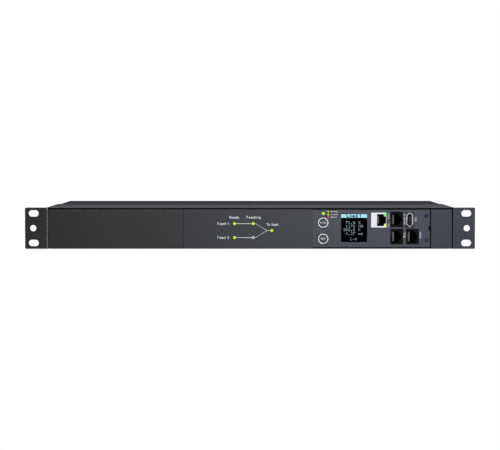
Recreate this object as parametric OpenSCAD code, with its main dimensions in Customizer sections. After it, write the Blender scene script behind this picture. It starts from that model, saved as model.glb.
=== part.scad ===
// Rack static transfer switch, 19 inch, one unit high.
// Two mains inlets, a fast thyristor changeover, two banks of outlets, and a plug-in
// network and display module on the front.
// Frame: +X to the right, +Y into the rack, +Z up. The origin is the centre of the four
// rack slots, on the back face of the ears, which is the face that meets the rack rails.

/* [Rack ears] */
// Overall width over both ears, the 19 inch rack standard
rack_w = 482.6; // [480:0.1:484]
// Height of the ears
ear_h = 44.3; // [43.7:0.1:44.4]
// Thickness of the ear steel
ear_t = 2; // [1.5:0.1:2]
// Depth of the ear's side flange, behind the mounting face
ear_flange_l = 124; // [118:1:130]
// Distance between the left and right slot centres
slot_span = 464; // [463:0.1:465.1]
// Distance between the upper and lower slot centres
slot_pitch = 31.75; // [31.7:0.05:31.8]
// End to end length of a slot
slot_l = 10.8; // [9:0.1:12]
// Width of a slot
slot_w = 7; // [6.4:0.1:7.2]
// Distance between the two round holes
hole_span = 465.1; // [464:0.1:466]
// Diameter of the round holes
hole_d = 6.8; // [6.4:0.1:7.2]

/* [Chassis] */
// Width of the chassis body
body_w = 433.2; // [433:0.1:433.6]
// Depth from the front face to the cover's rear lip
body_d = 241; // [241:1:250]
// Height of the chassis body
body_h = 44.1; // [43.8:0.1:44.2]
// Thickness of the chassis steel
sheet_t = 1; // [0.9:0.05:1]
// Outer radius of the folds
bend_r = 1.5; // [1.3:0.1:1.8]
// Number of ventilation slots in each side
vent_n = 13; // [8:1:13]

/* [Front] */
// Left edge of the printed overlay film
film_x0 = -71.3; // [-80:0.1:-60]
// Thickness of the overlay film
film_t = 0.25; // [0.15:0.05:0.3]
// Diameter of the indicator light pipes
pipe_d = 3; // [2.6:0.1:3]
// Height of the black line between the front wall and the cover
seal_h = 1.5; // [1.3:0.1:1.6]

/* [Network and display module] */
// Diameter of the two push buttons
button_d = 12; // [11:0.1:12]
// Travel of a push button
button_travel = 0.5; // [0.3:0.1:0.5]
// Width of the display's visible area
display_w = 27.8; // [26:0.1:28]
// Height of the display's visible area
display_h = 29.9; // [28:0.1:30]

/* [Rear] */
// Distance between outlet centres
outlet_pitch = 31; // [30.5:0.5:31.5]
// Number of outlets in each bank
outlet_n = 4; // [2:1:4]
// How far a tripped breaker's button comes out
trip_travel = 4; // [3:0.5:5]

/* [Power stage] */
// Number of heat sink fins
fin_n = 26; // [16:1:26]
// Number of thyristors
scr_n = 8; // [8:1:8]

/* [Hidden] */
$fn = 48;

yf = -ear_t;                   // front face of the wall, the module and the ears
zb = -ear_h / 2;               // underside
zt = zb + body_h;              // top of the cover
hb = body_w / 2;               // half width of the body
yr = yf + body_d;              // rear face of the cover's lip
t = sheet_t;
R = bend_r;
fold_r = 0.3;                  // outer radius of the cover's tight side folds
wall_z1 = zt - seal_h - 0.1;   // top of the front wall
bay_x0 = 66.8;                 // module bay in the front wall
bay_x1 = 194.2;
mod_x0 = 67.0;                 // module faceplate
mod_x1 = 192.9;
mod_z0 = -20.45;
mod_z1 = 19.75;
tray_hw = hb - t - 0.1;        // outer half width of the tray's sides

// [x, z] of the five mimic indicators: input A, selected A, output, input B, selected B
mimic_xz = [[-16.6, 4.95], [3.5, 4.95], [23.5, -2.5], [-16.6, -10.05], [3.5, -10.05]];
status_xz = [78.7, 15.8];
button_xz = [[78.45, 6.0], [78.45, -11.3]];
display_c = [111.6, 0.15];
eth_c = [138.1, 8.75];
jack_xz = [[157.3, 9.45], [157.3, -9.0], [174.25, -9.0]];
exp_c = [171.2, 8.8];
mod_screw_xz = [[189.1, 13.1], [189.1, -13.0]];
ear_screw_yz = [[18, 12], [18, -12], [106, 12], [106, -12]];
cover_screw_x = [-150, 0, 150];
inlet_x = [-192, -152];
inlet_z = -4;
stud_x = -124;
breaker_x = [-106, -84];
breaker_z = -4;
bank_x = [-3, 139];
bank_z = -4;
brd_z = -14;                   // underside of the power and control boards
brd_t = 1.6;
ztop = brd_z + brd_t;          // their component side
power_standoffs = [[-194, 76], [-84, 76], [20, 76], [-197, 152], [-120, 174], [20, 160]];
control_standoffs = [[42, 100], [199, 86], [42, 184], [199, 184]];

// ---------- helpers ----------
module ext_y(y0, y1) translate([0, y1, 0]) rotate([90, 0, 0]) linear_extrude(height = y1 - y0) children();
module ext_x(x0, x1) translate([x0, 0, 0]) rotate([90, 0, 90]) linear_extrude(height = x1 - x0) children();
module ext_z(z0, z1) translate([0, 0, z0]) linear_extrude(height = z1 - z0) children();
module blk(a, b) translate(a) cube(b - a);
module rect(a, b) translate(a) square(b - a);
module cyl_y(x, z, y0, y1, r) translate([x, y1, z]) rotate([90, 0, 0]) cylinder(r = r, h = y1 - y0);
module cyl_x(y, z, x0, x1, r) translate([x0, y, z]) rotate([0, 90, 0]) cylinder(r = r, h = x1 - x0);
module cyl_z(x, y, z0, z1, r) translate([x, y, z0]) cylinder(r = r, h = z1 - z0);
module rrect(a, b, r) {
  rect([a.x + r, a.y], [b.x - r, b.y]);
  rect([a.x, a.y + r], [b.x, b.y - r]);
  for (x = [a.x + r, b.x - r], y = [a.y + r, b.y - r]) translate([x, y]) circle(r);
}
module slot_h(x, y, l, w) {
  translate([x - (l - w) / 2, y - w / 2]) square([l - w, w]);
  for (s = [-1, 1]) translate([x + s * (l - w) / 2, y]) circle(d = w);
}
module slot_v(x, y, l, w) {
  translate([x - w / 2, y - (l - w) / 2]) square([w, l - w]);
  for (s = [-1, 1]) translate([x, y + s * (l - w) / 2]) circle(d = w);
}
// a quarter of a fold: centre, outer radius, thickness and the quadrant it fills
module fold(cx, cy, ro, th, qx, qy) intersection() {
  difference() {
    translate([cx, cy]) circle(ro);
    if (ro > th) translate([cx, cy]) circle(ro - th);
  }
  translate([qx > 0 ? cx : cx - ro, qy > 0 ? cy : cy - ro]) square(ro);
}
// an insulated wire along square-set points, with swept bends of radius b
module wire(p, r = 1.6, b = 3) {
  n = len(p);
  d = [for (i = [0 : n - 2]) (p[i + 1] - p[i]) / norm(p[i + 1] - p[i])];
  for (i = [0 : n - 2]) {
    s = p[i] + d[i] * (i > 0 ? b : 0);
    e = p[i + 1] - d[i] * (i < n - 2 ? b : 0);
    translate(s) rotate([0, acos(d[i].z), atan2(d[i].y, d[i].x)]) cylinder(r = r, h = norm(e - s), $fn = 24);
  }
  if (n > 2) for (i = [1 : n - 2]) {
    c = p[i] - d[i - 1] * b + d[i] * b;
    z = cross(d[i - 1], d[i]);
    multmatrix([[-d[i].x, d[i - 1].x, z.x, c.x], [-d[i].y, d[i - 1].y, z.y, c.y], [-d[i].z, d[i - 1].z, z.z, c.z], [0, 0, 0, 1]])
      rotate_extrude(angle = 90, $fn = 48) translate([b, 0]) circle(r = r, $fn = 24);
  }
}
// a cross recess for a driver, sunk along +Y from y0
module cross_y(x, z, y0, depth, a, l = 3.4, w = 0.9)
  translate([x, y0, z]) rotate([0, a, 0]) {
    blk([-l / 2, -1, -w / 2], [l / 2, depth, w / 2]);
    blk([-w / 2, -1, -l / 2], [w / 2, depth, l / 2]);
  }

// ---------- chassis ----------
module vents2d() for (i = [0 : vent_n - 1]) slot_v(150 + i * 6, 0, 17, 2.6);

// front wall section in Y-Z: bottom fold, wall, top fold and return flange
module front_section() {
  rect([yf + R, zb], [4, zb + t]);
  fold(yf + R, zb + R, R, t, -1, -1);
  rect([yf, zb + R], [yf + t, wall_z1 - R]);
  fold(yf + R, wall_z1 - R, R, t, -1, 1);
  rect([yf + R, wall_z1 - t], [8, wall_z1]);
}
module front_wall(x0, x1, e0, e1) {
  ext_x(x0, x1) front_section();
  ext_x(e0, e1) intersection() { front_section(); rect([yf, zb], [yf + t, wall_z1]); }
}
module chassis_tray() {
  rw = yr - t;                 // outer face of the rear wall
  color([0.2, 0.205, 0.225]) difference() {
    union() {
      front_wall(-tray_hw + 1.5, bay_x0, -hb + 0.15, bay_x0);
      front_wall(bay_x1, tray_hw - 1.5, bay_x1, hb - 0.15);
      // floor and sides
      ext_y(yf + t, rw - R) {
        rect([-tray_hw + R, zb], [tray_hw - R, zb + t]);
        for (s = [-1, 1]) {
          fold(s * (tray_hw - R), zb + R, R, t, s, -1);
          rect([min(s * tray_hw, s * (tray_hw - t)), zb + R], [max(s * tray_hw, s * (tray_hw - t)), zt - 2]);
        }
      }
      // the floor's plain front edge in the module bay
      blk([bay_x0, yf, zb], [bay_x1, 0, zb + t]);
      // rear wall, folded up from the floor
      ext_x(-tray_hw + 1.5, tray_hw - 1.5) {
        rect([rw - R - 4, zb], [rw - R, zb + t]);
        fold(rw - R, zb + R, R, t, 1, -1);
        rect([rw - t, zb + R], [rw, zt - R - 0.1]);
      }
      // corner flanges that join the rear wall to the sides
      for (s = [-1, 1]) blk([s > 0 ? tray_hw - 3 : -tray_hw, rw - R - 1, zb + R], [s > 0 ? tray_hw : -tray_hw + 3, rw - t + 0.02, zt - 2]);
    }
    // rear openings
    ext_y(rw - 3, rw + 1) {
      for (x = inlet_x) rect([x - 16.7, inlet_z - 12.7], [x + 16.7, inlet_z + 12.7]);
      for (x = breaker_x) translate([x, breaker_z]) circle(5.7);
      for (x = bank_x) rect([x - outlet_n * outlet_pitch / 2 - 0.2, bank_z - 12.7], [x + outlet_n * outlet_pitch / 2 + 0.2, bank_z + 12.7]);
      translate([stud_x, inlet_z]) circle(2.1);
      for (x = cover_screw_x) translate([x, zt - 4.8]) circle(1.6);
    }
    // side openings
    ext_x(-hb - 5, -tray_hw + 5) { vents2d(); for (p = ear_screw_yz) translate(p) circle(2.1); }
    ext_x(tray_hw - 5, hb + 5) { vents2d(); for (p = ear_screw_yz) translate(p) circle(2.1); }
    // windows for the mimic light pipes
    ext_y(yf - 1, yf + t + 0.5) for (p = mimic_xz) translate(p) circle(pipe_d / 2 + 0.08);
  }
}
module top_cover() {
  color([0.2, 0.205, 0.225]) difference() {
    union() {
      // flat top and sides, with tight folds along both sides
      ext_y(-0.4, yr - t - 0.5) difference() {
        intersection() {
          rrect([-hb, zb - 4], [hb, zt], fold_r);
          rect([-hb, zb + 0.4], [hb, zt]);
        }
        rect([-hb + t, zb - 5], [hb - t, zt - t]);
      }
      ext_x(-hb + 4, hb - 4) {
        rect([yr - t - 2, zt - t], [yr - R, zt]);
        fold(yr - R, zt - R, R, t, 1, 1);
        rect([yr - t, zt - 9], [yr, zt - R]);
      }
    }
    ext_y(yr - 3, yr + 1) for (x = cover_screw_x) translate([x, zt - 4.8]) circle(1.6);
    ext_x(-hb - 1, -hb + 3) { vents2d(); for (p = ear_screw_yz) translate(p) circle(2.1); }
    ext_x(hb - 3, hb + 1) { vents2d(); for (p = ear_screw_yz) translate(p) circle(2.1); }
  }
}
module ear(s) {
  ro = ear_t + 0.6;
  color([0.2, 0.205, 0.225]) mirror([s < 0 ? 1 : 0, 0, 0]) difference() {
    ext_z(zb, -zb) {
      fold(hb + ro, yf + ro, ro, ear_t, -1, -1);
      rect([hb + ro, yf], [rack_w / 2, 0]);
      rect([hb, yf + ro], [hb + ear_t, ear_flange_l]);
    }
    // rounded outer corners of the front flange
    ext_y(yf - 1, 1) for (q = [-1, 1]) difference() {
      rect([rack_w / 2 - 1.5, q > 0 ? -zb - 1.5 : zb - 1], [rack_w / 2 + 1, q > 0 ? -zb + 1 : zb + 1.5]);
      translate([rack_w / 2 - 1.5, q * (-zb - 1.5)]) circle(1.5);
    }
    // rounded rear corners of the side flange
    ext_x(hb - 1, hb + ear_t + 1) for (q = [-1, 1]) difference() {
      rect([ear_flange_l - 6, q > 0 ? -zb - 6 : zb - 1], [ear_flange_l + 1, q > 0 ? -zb + 1 : zb + 6]);
      translate([ear_flange_l - 6, q * (-zb - 6)]) circle(6);
    }
    ext_y(yf - 1, 1) {
      for (q = [-1, 1]) slot_h(slot_span / 2, q * slot_pitch / 2, slot_l, slot_w);
      translate([hole_span / 2, 0]) circle(d = hole_d);
    }
    for (p = ear_screw_yz) {
      cyl_x(p.x, p.y, hb - 1, hb + ear_t + 1, 2.1);
      translate([hb + ear_t + 0.01, p.x, p.y]) rotate([0, -90, 0]) cylinder(r1 = 3.86, r2 = 2.06, h = 1.8);
    }
  }
}
module ear_screws() color([0.1, 0.1, 0.11]) for (s = [0, 1], p = ear_screw_yz) mirror([s, 0, 0]) difference() {
  union() {
    cyl_x(p.x, p.y, hb - 6.5, hb + ear_t - 1, 2);
    translate([hb + ear_t - 0.05, p.x, p.y]) rotate([0, -90, 0]) cylinder(r1 = 3.75, r2 = 2, h = 1.75);
  }
  translate([hb + ear_t - 1.2, p.x, p.y]) rotate([0, 90, 0]) cylinder(r = 1.45, h = 3, $fn = 6);
}
module clinch_nuts() color([0.75, 0.76, 0.78]) for (s = [0, 1], p = ear_screw_yz) mirror([s, 0, 0]) difference() {
  cyl_x(p.x, p.y, tray_hw - t - 2.6, tray_hw - t, 3.6);
  cyl_x(p.x, p.y, tray_hw - t - 3, tray_hw, 2.08);
}
module cover_screws() color([0.1, 0.1, 0.11]) for (x = cover_screw_x) difference() {
  union() {
    cyl_y(x, zt - 4.8, yr - 7, yr + 0.5, 1.5);
    intersection() {
      cyl_y(x, zt - 4.8, yr, yr + 1.7, 2.8);
      translate([x, yr - 3.3, zt - 4.8]) sphere(r = 5);
    }
  }
  translate([0, 0, 0]) rotate([0, 0, 0]) {
    blk([x - 1.6, yr + 0.6, zt - 4.8 - 0.45], [x + 1.6, yr + 3, zt - 4.8 + 0.45]);
    blk([x - 0.45, yr + 0.6, zt - 4.8 - 1.6], [x + 0.45, yr + 3, zt - 4.8 + 1.6]);
  }
}
module front_seal() color([0.03, 0.03, 0.03]) {
  ext_y(yf + 0.35, -0.4) intersection() {
    rect([-hb, wall_z1], [hb, zt]);
    rrect([-hb + 0.12, zb], [hb - 0.12, zt - 0.12], fold_r);
  }
  ext_x(-hb + 1.6, hb - 1.6) rect([-0.42, wall_z1], [6, zt - t]);
}

// ---------- mimic panel ----------
module mimic_overlay_film() color([0.2, 0.205, 0.23]) ext_y(yf - film_t, yf) difference() {
  rrect([film_x0, zb + 0.35], [bay_x0 - 0.1, wall_z1 - 0.25], 0.6);
  for (p = mimic_xz) translate(p) circle(pipe_d / 2 + 0.08);
}
module light_pipes() color([0.62, 0.95, 0.2]) {
  for (p = mimic_xz) {
    cyl_y(p.x, p.y, yf - film_t - 0.1, 8, pipe_d / 2);
    cyl_y(p.x, p.y, yf - film_t - 0.3, yf - film_t - 0.05, pipe_d / 2 - 0.35);
    cyl_y(p.x, p.y, yf + t, yf + t + 1, pipe_d / 2 + 0.9);
  }
  cyl_y(status_xz.x, status_xz.y, yf - 0.25, 11, pipe_d / 2);
  cyl_y(status_xz.x, status_xz.y, yf - 0.5, yf - 0.2, pipe_d / 2 - 0.4);
  cyl_y(status_xz.x, status_xz.y, yf + t, yf + t + 1, pipe_d / 2 + 0.8);
}
module mimic_board() color([0.06, 0.3, 0.14]) difference() {
  blk([-28, 10, -17], [48, 11.6, 15]);
  for (p = [[-24, -13], [-24, 11], [34, -13], [34, 11]]) cyl_y(p.x, p.y, 9, 12, 1.6);
}
module mimic_leds() color([0.9, 0.95, 0.85]) for (p = concat(mimic_xz, [status_xz]))
  let (y0 = p == status_xz ? 13 : 10) {
    blk([p.x - 1.6, y0 - 0.8, p.y - 1.4], [p.x + 1.6, y0, p.y + 1.4]);
    cyl_y(p.x, p.y, y0 - 1.6, y0 - 0.8, 1.1);
  }
module panel_spacers() color([0.78, 0.7, 0.42]) {
  for (p = [[-24, -13], [-24, 11], [34, -13], [34, 11]]) difference() {
    translate([p.x, 10, p.y]) rotate([90, 0, 0]) cylinder(r = 2.9, h = 10 - yf - t, $fn = 6);
    cyl_y(p.x, p.y, 4, 11, 1.3);
  }
  for (p = [[71.3, -16.9], [187, -16.8], [90.5, 17], [150, 0.15]]) difference() {
    translate([p.x, 13, p.y]) rotate([90, 0, 0]) cylinder(r = p.x == 150 ? 0.9 : 2.2, h = 13 - yf - t, $fn = 6);
    if (p.x != 150) cyl_y(p.x, p.y, 7, 14, 1.0);
  }
}

// ---------- network and display module ----------
module rj_cut(c, hx, hz) rect([c.x - hx, c.y - hz], [c.x + hx, c.y + hz]);
module exp_outline(g) {
  hx = 3.5 + g; hz = 7.4 + g;
  translate(exp_c) polygon([[-hx, -hz + 2.2], [-hx + 2.2, -hz], [hx - 1.8, -hz], [hx, -hz + 1.8], [hx, hz - 1.1], [hx - 1.1, hz], [-hx + 1.6, hz], [-hx, hz - 1.6]]);
}
module module_faceplate() color([0.24, 0.25, 0.275]) difference() {
  union() {
    // plate with a tight bottom fold, then the shelf
    ext_x(mod_x0, mod_x1) polygon([[yf, mod_z0 + 0.25], [yf + 0.25, mod_z0], [yf + 2, mod_z0], [yf + 2, mod_z0 + t], [yf + t, mod_z0 + t], [yf + t, mod_z1], [yf, mod_z1]]);
    ext_x(mod_x0 + 1, mod_x1 - 1) rect([yf + 1.9, mod_z0], [60, mod_z0 + t]);
    // shelf's rear upstand
    blk([mod_x0 + 1, 59, mod_z0], [mod_x1 - 1, 60, mod_z0 + 12]);
    // tongue that hooks behind the front wall
    blk([58, yf + t + 0.1, -9], [mod_x0 + 0.01, yf + t + 1.1, 9]);
    blk([mod_x0, yf + t - 0.01, -9], [mod_x0 + 3, yf + t + 1.1, 9]);
  }
  ext_y(yf - 1, yf + t + 0.05) {
    for (p = button_xz) translate(p) circle(button_d / 2 + 0.3);
    translate(status_xz) circle(pipe_d / 2 + 0.08);
    translate(display_c) rect([-display_w / 2 - 0.1, -display_h / 2 - 0.1], [display_w / 2 + 0.1, display_h / 2 + 0.1]);
    rj_cut(eth_c, 8.4, 8.2);
    for (c = jack_xz) rj_cut(c, 6.85, 8.35);
    rrect([exp_c.x - 3.9, exp_c.y - 7.8], [exp_c.x + 3.9, exp_c.y + 7.8], 0.4);
    // notch to lever the module out
    rrect([mod_x1 - 1.3, -3], [mod_x1 + 3, 3.1], 0.6);
  }
  for (p = mod_screw_xz) {
    cyl_y(p.x, p.y, yf - 1, yf + t + 1, 1.65);
    cyl_y(p.x, p.y, yf - 1, yf + 0.6, 2.42);
  }
}
module module_bracket() color([0.05, 0.05, 0.055]) difference() {
  union() {
    blk([184, yf + t, -18.6], [192.6, yf + t + 1.5, 18.6]);
    blk([191.2, yf + t, -18.6], [192.6, yf + t + 7.4, 18.6]);
    blk([191.2, yf + t + 6, -18.6], [199.4, yf + t + 7.4, 18.6]);
    blk([198, yf + t, -18.6], [199.4, yf + t + 7.4, 18.6]);
    blk([198, yf + t, -18.6], [209, yf + t + 1.5, 18.6]);
  }
  for (p = mod_screw_xz) cyl_y(p.x, p.y, yf, yf + 4, 1.55);
  blk([170, yf, -19.5], [189.9, yf + 4, -14.4]);
  // clear of the lever notch
  blk([190.4, yf, -3.7], [194.2, yf + t + 5.6, 3.7]);
}
module module_screws() color([0.24, 0.25, 0.275]) for (i = [0, 1]) let (p = mod_screw_xz[i]) difference() {
  union() {
    cyl_y(p.x, p.y, yf + 0.4, yf + 6, 1.5);
    cyl_y(p.x, p.y, yf - 0.15, yf + 0.5, 2.2);
  }
  cross_y(p.x, p.y, yf - 0.2, 1.1, i == 0 ? 8 : 45, 2.7, 0.75);
}
module module_board() color([0.06, 0.3, 0.14]) difference() {
  blk([70, 13, -18.3], [189, 14.6, 18.6]);
  for (p = [[71.3, -16.9], [187, -16.8], [90.5, 17]]) cyl_y(p.x, p.y, 12, 15, 1.1);
}
module display_window() color([0.1, 0.12, 0.14, 0.4]) translate([display_c.x, 0, display_c.y]) {
  blk([-display_w / 2, yf + 0.05, -display_h / 2], [display_w / 2, yf + t + 0.1, display_h / 2]);
  blk([-display_w / 2 - 1.6, yf + t, -display_h / 2 - 1.6], [display_w / 2 + 1.6, yf + t + 0.8, display_h / 2 + 1.6]);
}
module display_panel() color([0.02, 0.02, 0.03]) translate([display_c.x, 0, display_c.y])
  blk([-display_w / 2 - 1.9, 0, -display_h / 2 - 2.2], [display_w / 2 + 1.9, 1.9, display_h / 2 + 1.6]);
module display_carrier() color([0.08, 0.08, 0.09]) translate([display_c.x, 0, display_c.y]) difference() {
  blk([-display_w / 2 - 2.4, 1.9, -display_h / 2 - 2.8], [display_w / 2 + 2.4, 13, display_h / 2 + 2.2]);
  blk([-display_w / 2, 3.4, -display_h / 2], [display_w / 2, 14, display_h / 2]);
}
module push_button(p) color([0.24, 0.25, 0.275]) {
  cyl_y(p.x, p.y, yf - 0.5, yf + t + 0.2, button_d / 2);
  translate([p.x, yf - 0.48, p.y]) rotate([90, 0, 0]) cylinder(r1 = button_d / 2, r2 = button_d / 2 - 0.3, h = 0.3);
  cyl_y(p.x, p.y, yf + t + 0.1, yf + t + 1.4, button_d / 2 + 0.9);
  cyl_y(p.x, p.y, yf + t + 1, 8.4, 2);
}
module select_button() push_button(button_xz[0]);
module enter_button() push_button(button_xz[1]);
module button_switches() color([0.7, 0.71, 0.72]) for (p = button_xz) {
  blk([p.x - 3, 9.5, p.y - 3], [p.x + 3, 13, p.y + 3]);
  cyl_y(p.x, p.y, 8.4 + button_travel + 0.05, 9.6, 1.75);
}
// the spring contacts in one jack: they lie on the left wall and slope inward
module contacts(xw, zc, yb, n) for (i = [0 : n - 1]) translate([0, 0, zc + (i - (n - 1) / 2) * 1.02 - 0.31])
  linear_extrude(height = 0.62) polygon([[xw, -0.6], [xw + 0.4, -0.6], [xw + 2.2, 1.6], [xw + 2.2, yb], [xw + 1.85, yb], [xw + 1.85, 1.9], [xw, 0.3]]);
module ethernet_jack() color([0.93, 0.93, 0.94]) difference() {
  blk([eth_c.x - 8.2, yf - 0.3, eth_c.y - 8.0], [eth_c.x + 8.2, 13, eth_c.y + 8.0]);
  // plug cavity, latch way and the two lamp pockets
  blk([eth_c.x - 1.9, yf - 1, eth_c.y - 5.95], [eth_c.x + 5.6, 10, eth_c.y + 5.95]);
  blk([eth_c.x + 5.5, yf - 1, eth_c.y - 3.9], [eth_c.x + 7.8, 10, eth_c.y + 3.9]);
  for (q = [-1, 1]) blk([eth_c.x + 5.95, yf - 1, q > 0 ? eth_c.y + 4.0 : eth_c.y - 7.5], [eth_c.x + 7.9, 9, q > 0 ? eth_c.y + 7.5 : eth_c.y - 4.0]);
  // relief step round the mouth
  blk([eth_c.x - 1.9, yf - 1, eth_c.y - 6.4], [eth_c.x + 5.4, yf + 0.4, eth_c.y + 6.4]);
}
module ethernet_jack_leds() color([0.3, 0.9, 0.2]) for (q = [-1, 1])
  blk([eth_c.x + 6.0, yf - 0.35, q > 0 ? eth_c.y + 4.05 : eth_c.y - 7.45], [eth_c.x + 7.85, 8.9, q > 0 ? eth_c.y + 7.45 : eth_c.y - 4.05]);
module data_jack(c) color([0.06, 0.06, 0.06]) difference() {
  blk([c.x - 6.7, yf - 0.2, c.y - 8.2], [c.x + 6.7, 13, c.y + 8.2]);
  blk([c.x - 4.8, yf - 1, c.y - 5.95], [c.x + 2.4, 10, c.y + 5.95]);
  blk([c.x + 2.3, yf - 1, c.y - 3.3], [c.x + 3.9, 10, c.y + 3.3]);
  blk([c.x + 3.8, yf - 1, c.y - 2.1], [c.x + 5.0, 10, c.y + 2.1]);
  // relief step round the mouth
  blk([c.x - 5.4, yf - 1, c.y - 6.5], [c.x + 2.9, yf + 0.5, c.y + 6.5]);
}
module data_jack_upper() data_jack(jack_xz[0]);
module data_jack_lower_left() data_jack(jack_xz[1]);
module data_jack_lower_right() data_jack(jack_xz[2]);
module jack_contacts() color([0.85, 0.65, 0.25]) {
  contacts(eth_c.x - 1.9, eth_c.y, 10, 8);
  for (c = jack_xz) contacts(c.x - 4.8, c.y, 10, 10);
}
module expansion_socket_shell() color([0.8, 0.8, 0.82]) {
  ext_y(yf - 0.2, 13) difference() { exp_outline(-0.4); exp_outline(-0.85); }
  ext_y(yf - 0.7, yf - 0.15) difference() { exp_outline(0.1); exp_outline(-0.85); }
}
module expansion_socket_insert() color([0.05, 0.05, 0.05]) {
  ext_y(6, 13) exp_outline(-0.9);
  blk([exp_c.x - 0.5, yf + 0.6, exp_c.y - 4.9], [exp_c.x + 1.4, 6.5, exp_c.y + 4.9]);
}

// ---------- rear ----------
module inlet(x) color([0.06, 0.06, 0.06]) difference() {
  union() {
    ext_y(yr - t, yr + 1.2) rrect([x - 18, inlet_z - 14.4], [x + 18, inlet_z + 14.4], 2);
    blk([x - 16.5, yr - 31, inlet_z - 12.5], [x + 16.5, yr - t + 0.1, inlet_z + 12.5]);
  }
  ext_y(yr - 17, yr + 2) rrect([x - 15.2, inlet_z - 10.7], [x + 15.2, inlet_z + 10.7], 2.5);
  for (b = [[-6.5, -4], [6.5, -4], [0, 4]]) blk([x + b.x - 4.05, yr - 33, inlet_z + b.y - 1.05], [x + b.x + 4.05, yr - 15, inlet_z + b.y + 1.05]);
}
module inlet_a() inlet(inlet_x[0]);
module inlet_b() inlet(inlet_x[1]);
module inlet_blades() color([0.8, 0.78, 0.7]) for (x = inlet_x, b = [[-6.5, -4], [6.5, -4], [0, 4]])
  blk([x + b.x - 4, yr - 39, inlet_z + b.y - 1], [x + b.x + 4, yr - 1.5, inlet_z + b.y + 1]);
module circuit_breakers() color([0.07, 0.07, 0.07]) for (x = breaker_x) difference() {
  union() {
    blk([x - 7, yr - 30, breaker_z - 12.5], [x + 7, yr - 2 * t, breaker_z + 12.5]);
    cyl_y(x, breaker_z, yr - 2 * t - 0.1, yr + 4, 5.5);
    // tab terminals
    for (q = [-5, 5]) blk([x - 3.1, yr - 37, breaker_z + q - 0.4], [x + 3.1, yr - 29.9, breaker_z + q + 0.4]);
  }
  cyl_y(x, breaker_z, yr - 20, yr + 5, 3.85);
}
module breaker_button(x) color([0.75, 0.1, 0.08]) {
  cyl_y(x, breaker_z, yr - 18, yr + 6.5, 3.5);
  translate([x, yr + 6.4, breaker_z]) rotate([-90, 0, 0]) cylinder(r1 = 3.5, r2 = 3.1, h = 0.5);
}
module breaker_button_a() breaker_button(breaker_x[0]);
module breaker_button_b() breaker_button(breaker_x[1]);
module breaker_nuts() color([0.7, 0.71, 0.73]) for (x = breaker_x) difference() {
  translate([x, yr + 1.6, breaker_z]) rotate([90, 0, 0]) cylinder(r = 8, h = 2.6, $fn = 6);
  cyl_y(x, breaker_z, yr - 3, yr + 4, 5.56);
}
module c13_outline(hx, hz, k) polygon([[-hx, -hz], [hx, -hz], [hx, hz - k], [hx - k, hz], [-hx + k, hz], [-hx, hz - k]]);
module outlet_banks() color([0.06, 0.06, 0.06]) for (xc = bank_x) difference() {
  union() {
    ext_y(yr - t, yr + 1.2) rrect([xc - outlet_n * outlet_pitch / 2 - 1.6, bank_z - 14.4], [xc + outlet_n * outlet_pitch / 2 + 1.6, bank_z + 14.4], 2);
    blk([xc - outlet_n * outlet_pitch / 2, yr - 26, bank_z - 12.5], [xc + outlet_n * outlet_pitch / 2, yr - t + 0.1, bank_z + 12.5]);
  }
  for (i = [0 : outlet_n - 1]) translate([xc + (i - (outlet_n - 1) / 2) * outlet_pitch, 0, bank_z]) {
    ext_y(yr - 17, yr + 2) difference() { c13_outline(14.1, 10.2, 4.6); c13_outline(11.7, 7.8, 3.8); }
    ext_y(yr - 18, yr + 2) for (b = [[-7, -2], [7, -2], [0, 2]]) rect([b.x - 1.2, b.y - 2.3], [b.x + 1.2, b.y + 2.3]);
  }
}
module outlet_busbars() color([0.8, 0.65, 0.3]) for (xc = bank_x, z = [-9, -2.5, 4])
  blk([xc - outlet_n * outlet_pitch / 2 + 3, yr - 27.2, z - 2], [xc + outlet_n * outlet_pitch / 2 - 3, yr - 26, z + 2]);
module earth_stud() color([0.75, 0.76, 0.78]) {
  cyl_y(stud_x, inlet_z, yr - 12, yr + 7, 2);
  translate([stud_x, yr + 1.8, inlet_z]) rotate([90, 0, 0]) cylinder(r = 4, h = 2.8, $fn = 6);
  translate([stud_x, yr - 2 * t, inlet_z]) rotate([90, 0, 0]) cylinder(r = 4, h = 3, $fn = 6);
  // tag that the earth wires are crimped to
  difference() {
    blk([stud_x - 7, yr - 8, inlet_z - 5], [stud_x + 7, yr - 7, 15]);
    cyl_y(stud_x, inlet_z, yr - 9, yr - 6, 2.1);
  }
  translate([stud_x, yr - 5, inlet_z]) rotate([90, 0, 0]) cylinder(r = 2.5, h = 2);
}

// ---------- power stage and control ----------
module insulation_sheet() color([0.85, 0.8, 0.6]) difference() {
  blk([-206, 64, zb + t], [30, 184, zb + t + 0.4]);
  for (p = power_standoffs) cyl_z(p.x, p.y, zb, zb + 3, 4);
}
module board_standoffs() color([0.78, 0.79, 0.8]) for (p = concat(power_standoffs, control_standoffs)) difference() {
  translate([p.x, p.y, zb + t]) cylinder(r = 3.2, h = brd_z - zb - t, $fn = 6);
  cyl_z(p.x, p.y, zb + t + 1, brd_z + 1, 1.55);
}
module board_screws() color([0.75, 0.76, 0.78]) for (p = concat(power_standoffs, control_standoffs)) difference() {
  union() {
    cyl_z(p.x, p.y, brd_z - 4, ztop + 1, 1.5);
    cyl_z(p.x, p.y, ztop, ztop + 1.8, 2.8);
  }
  blk([p.x - 1.6, p.y - 0.4, ztop + 0.9], [p.x + 1.6, p.y + 0.4, ztop + 3]);
  blk([p.x - 0.4, p.y - 1.6, ztop + 0.9], [p.x + 0.4, p.y + 1.6, ztop + 3]);
}
module power_board() color([0.06, 0.3, 0.14]) difference() {
  blk([-201, 68, brd_z], [26, 180, ztop]);
  for (p = power_standoffs) cyl_z(p.x, p.y, brd_z - 1, ztop + 1, 1.65);
}
scr_x = [for (i = [0 : scr_n - 1]) -160 + i * 20];
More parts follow.
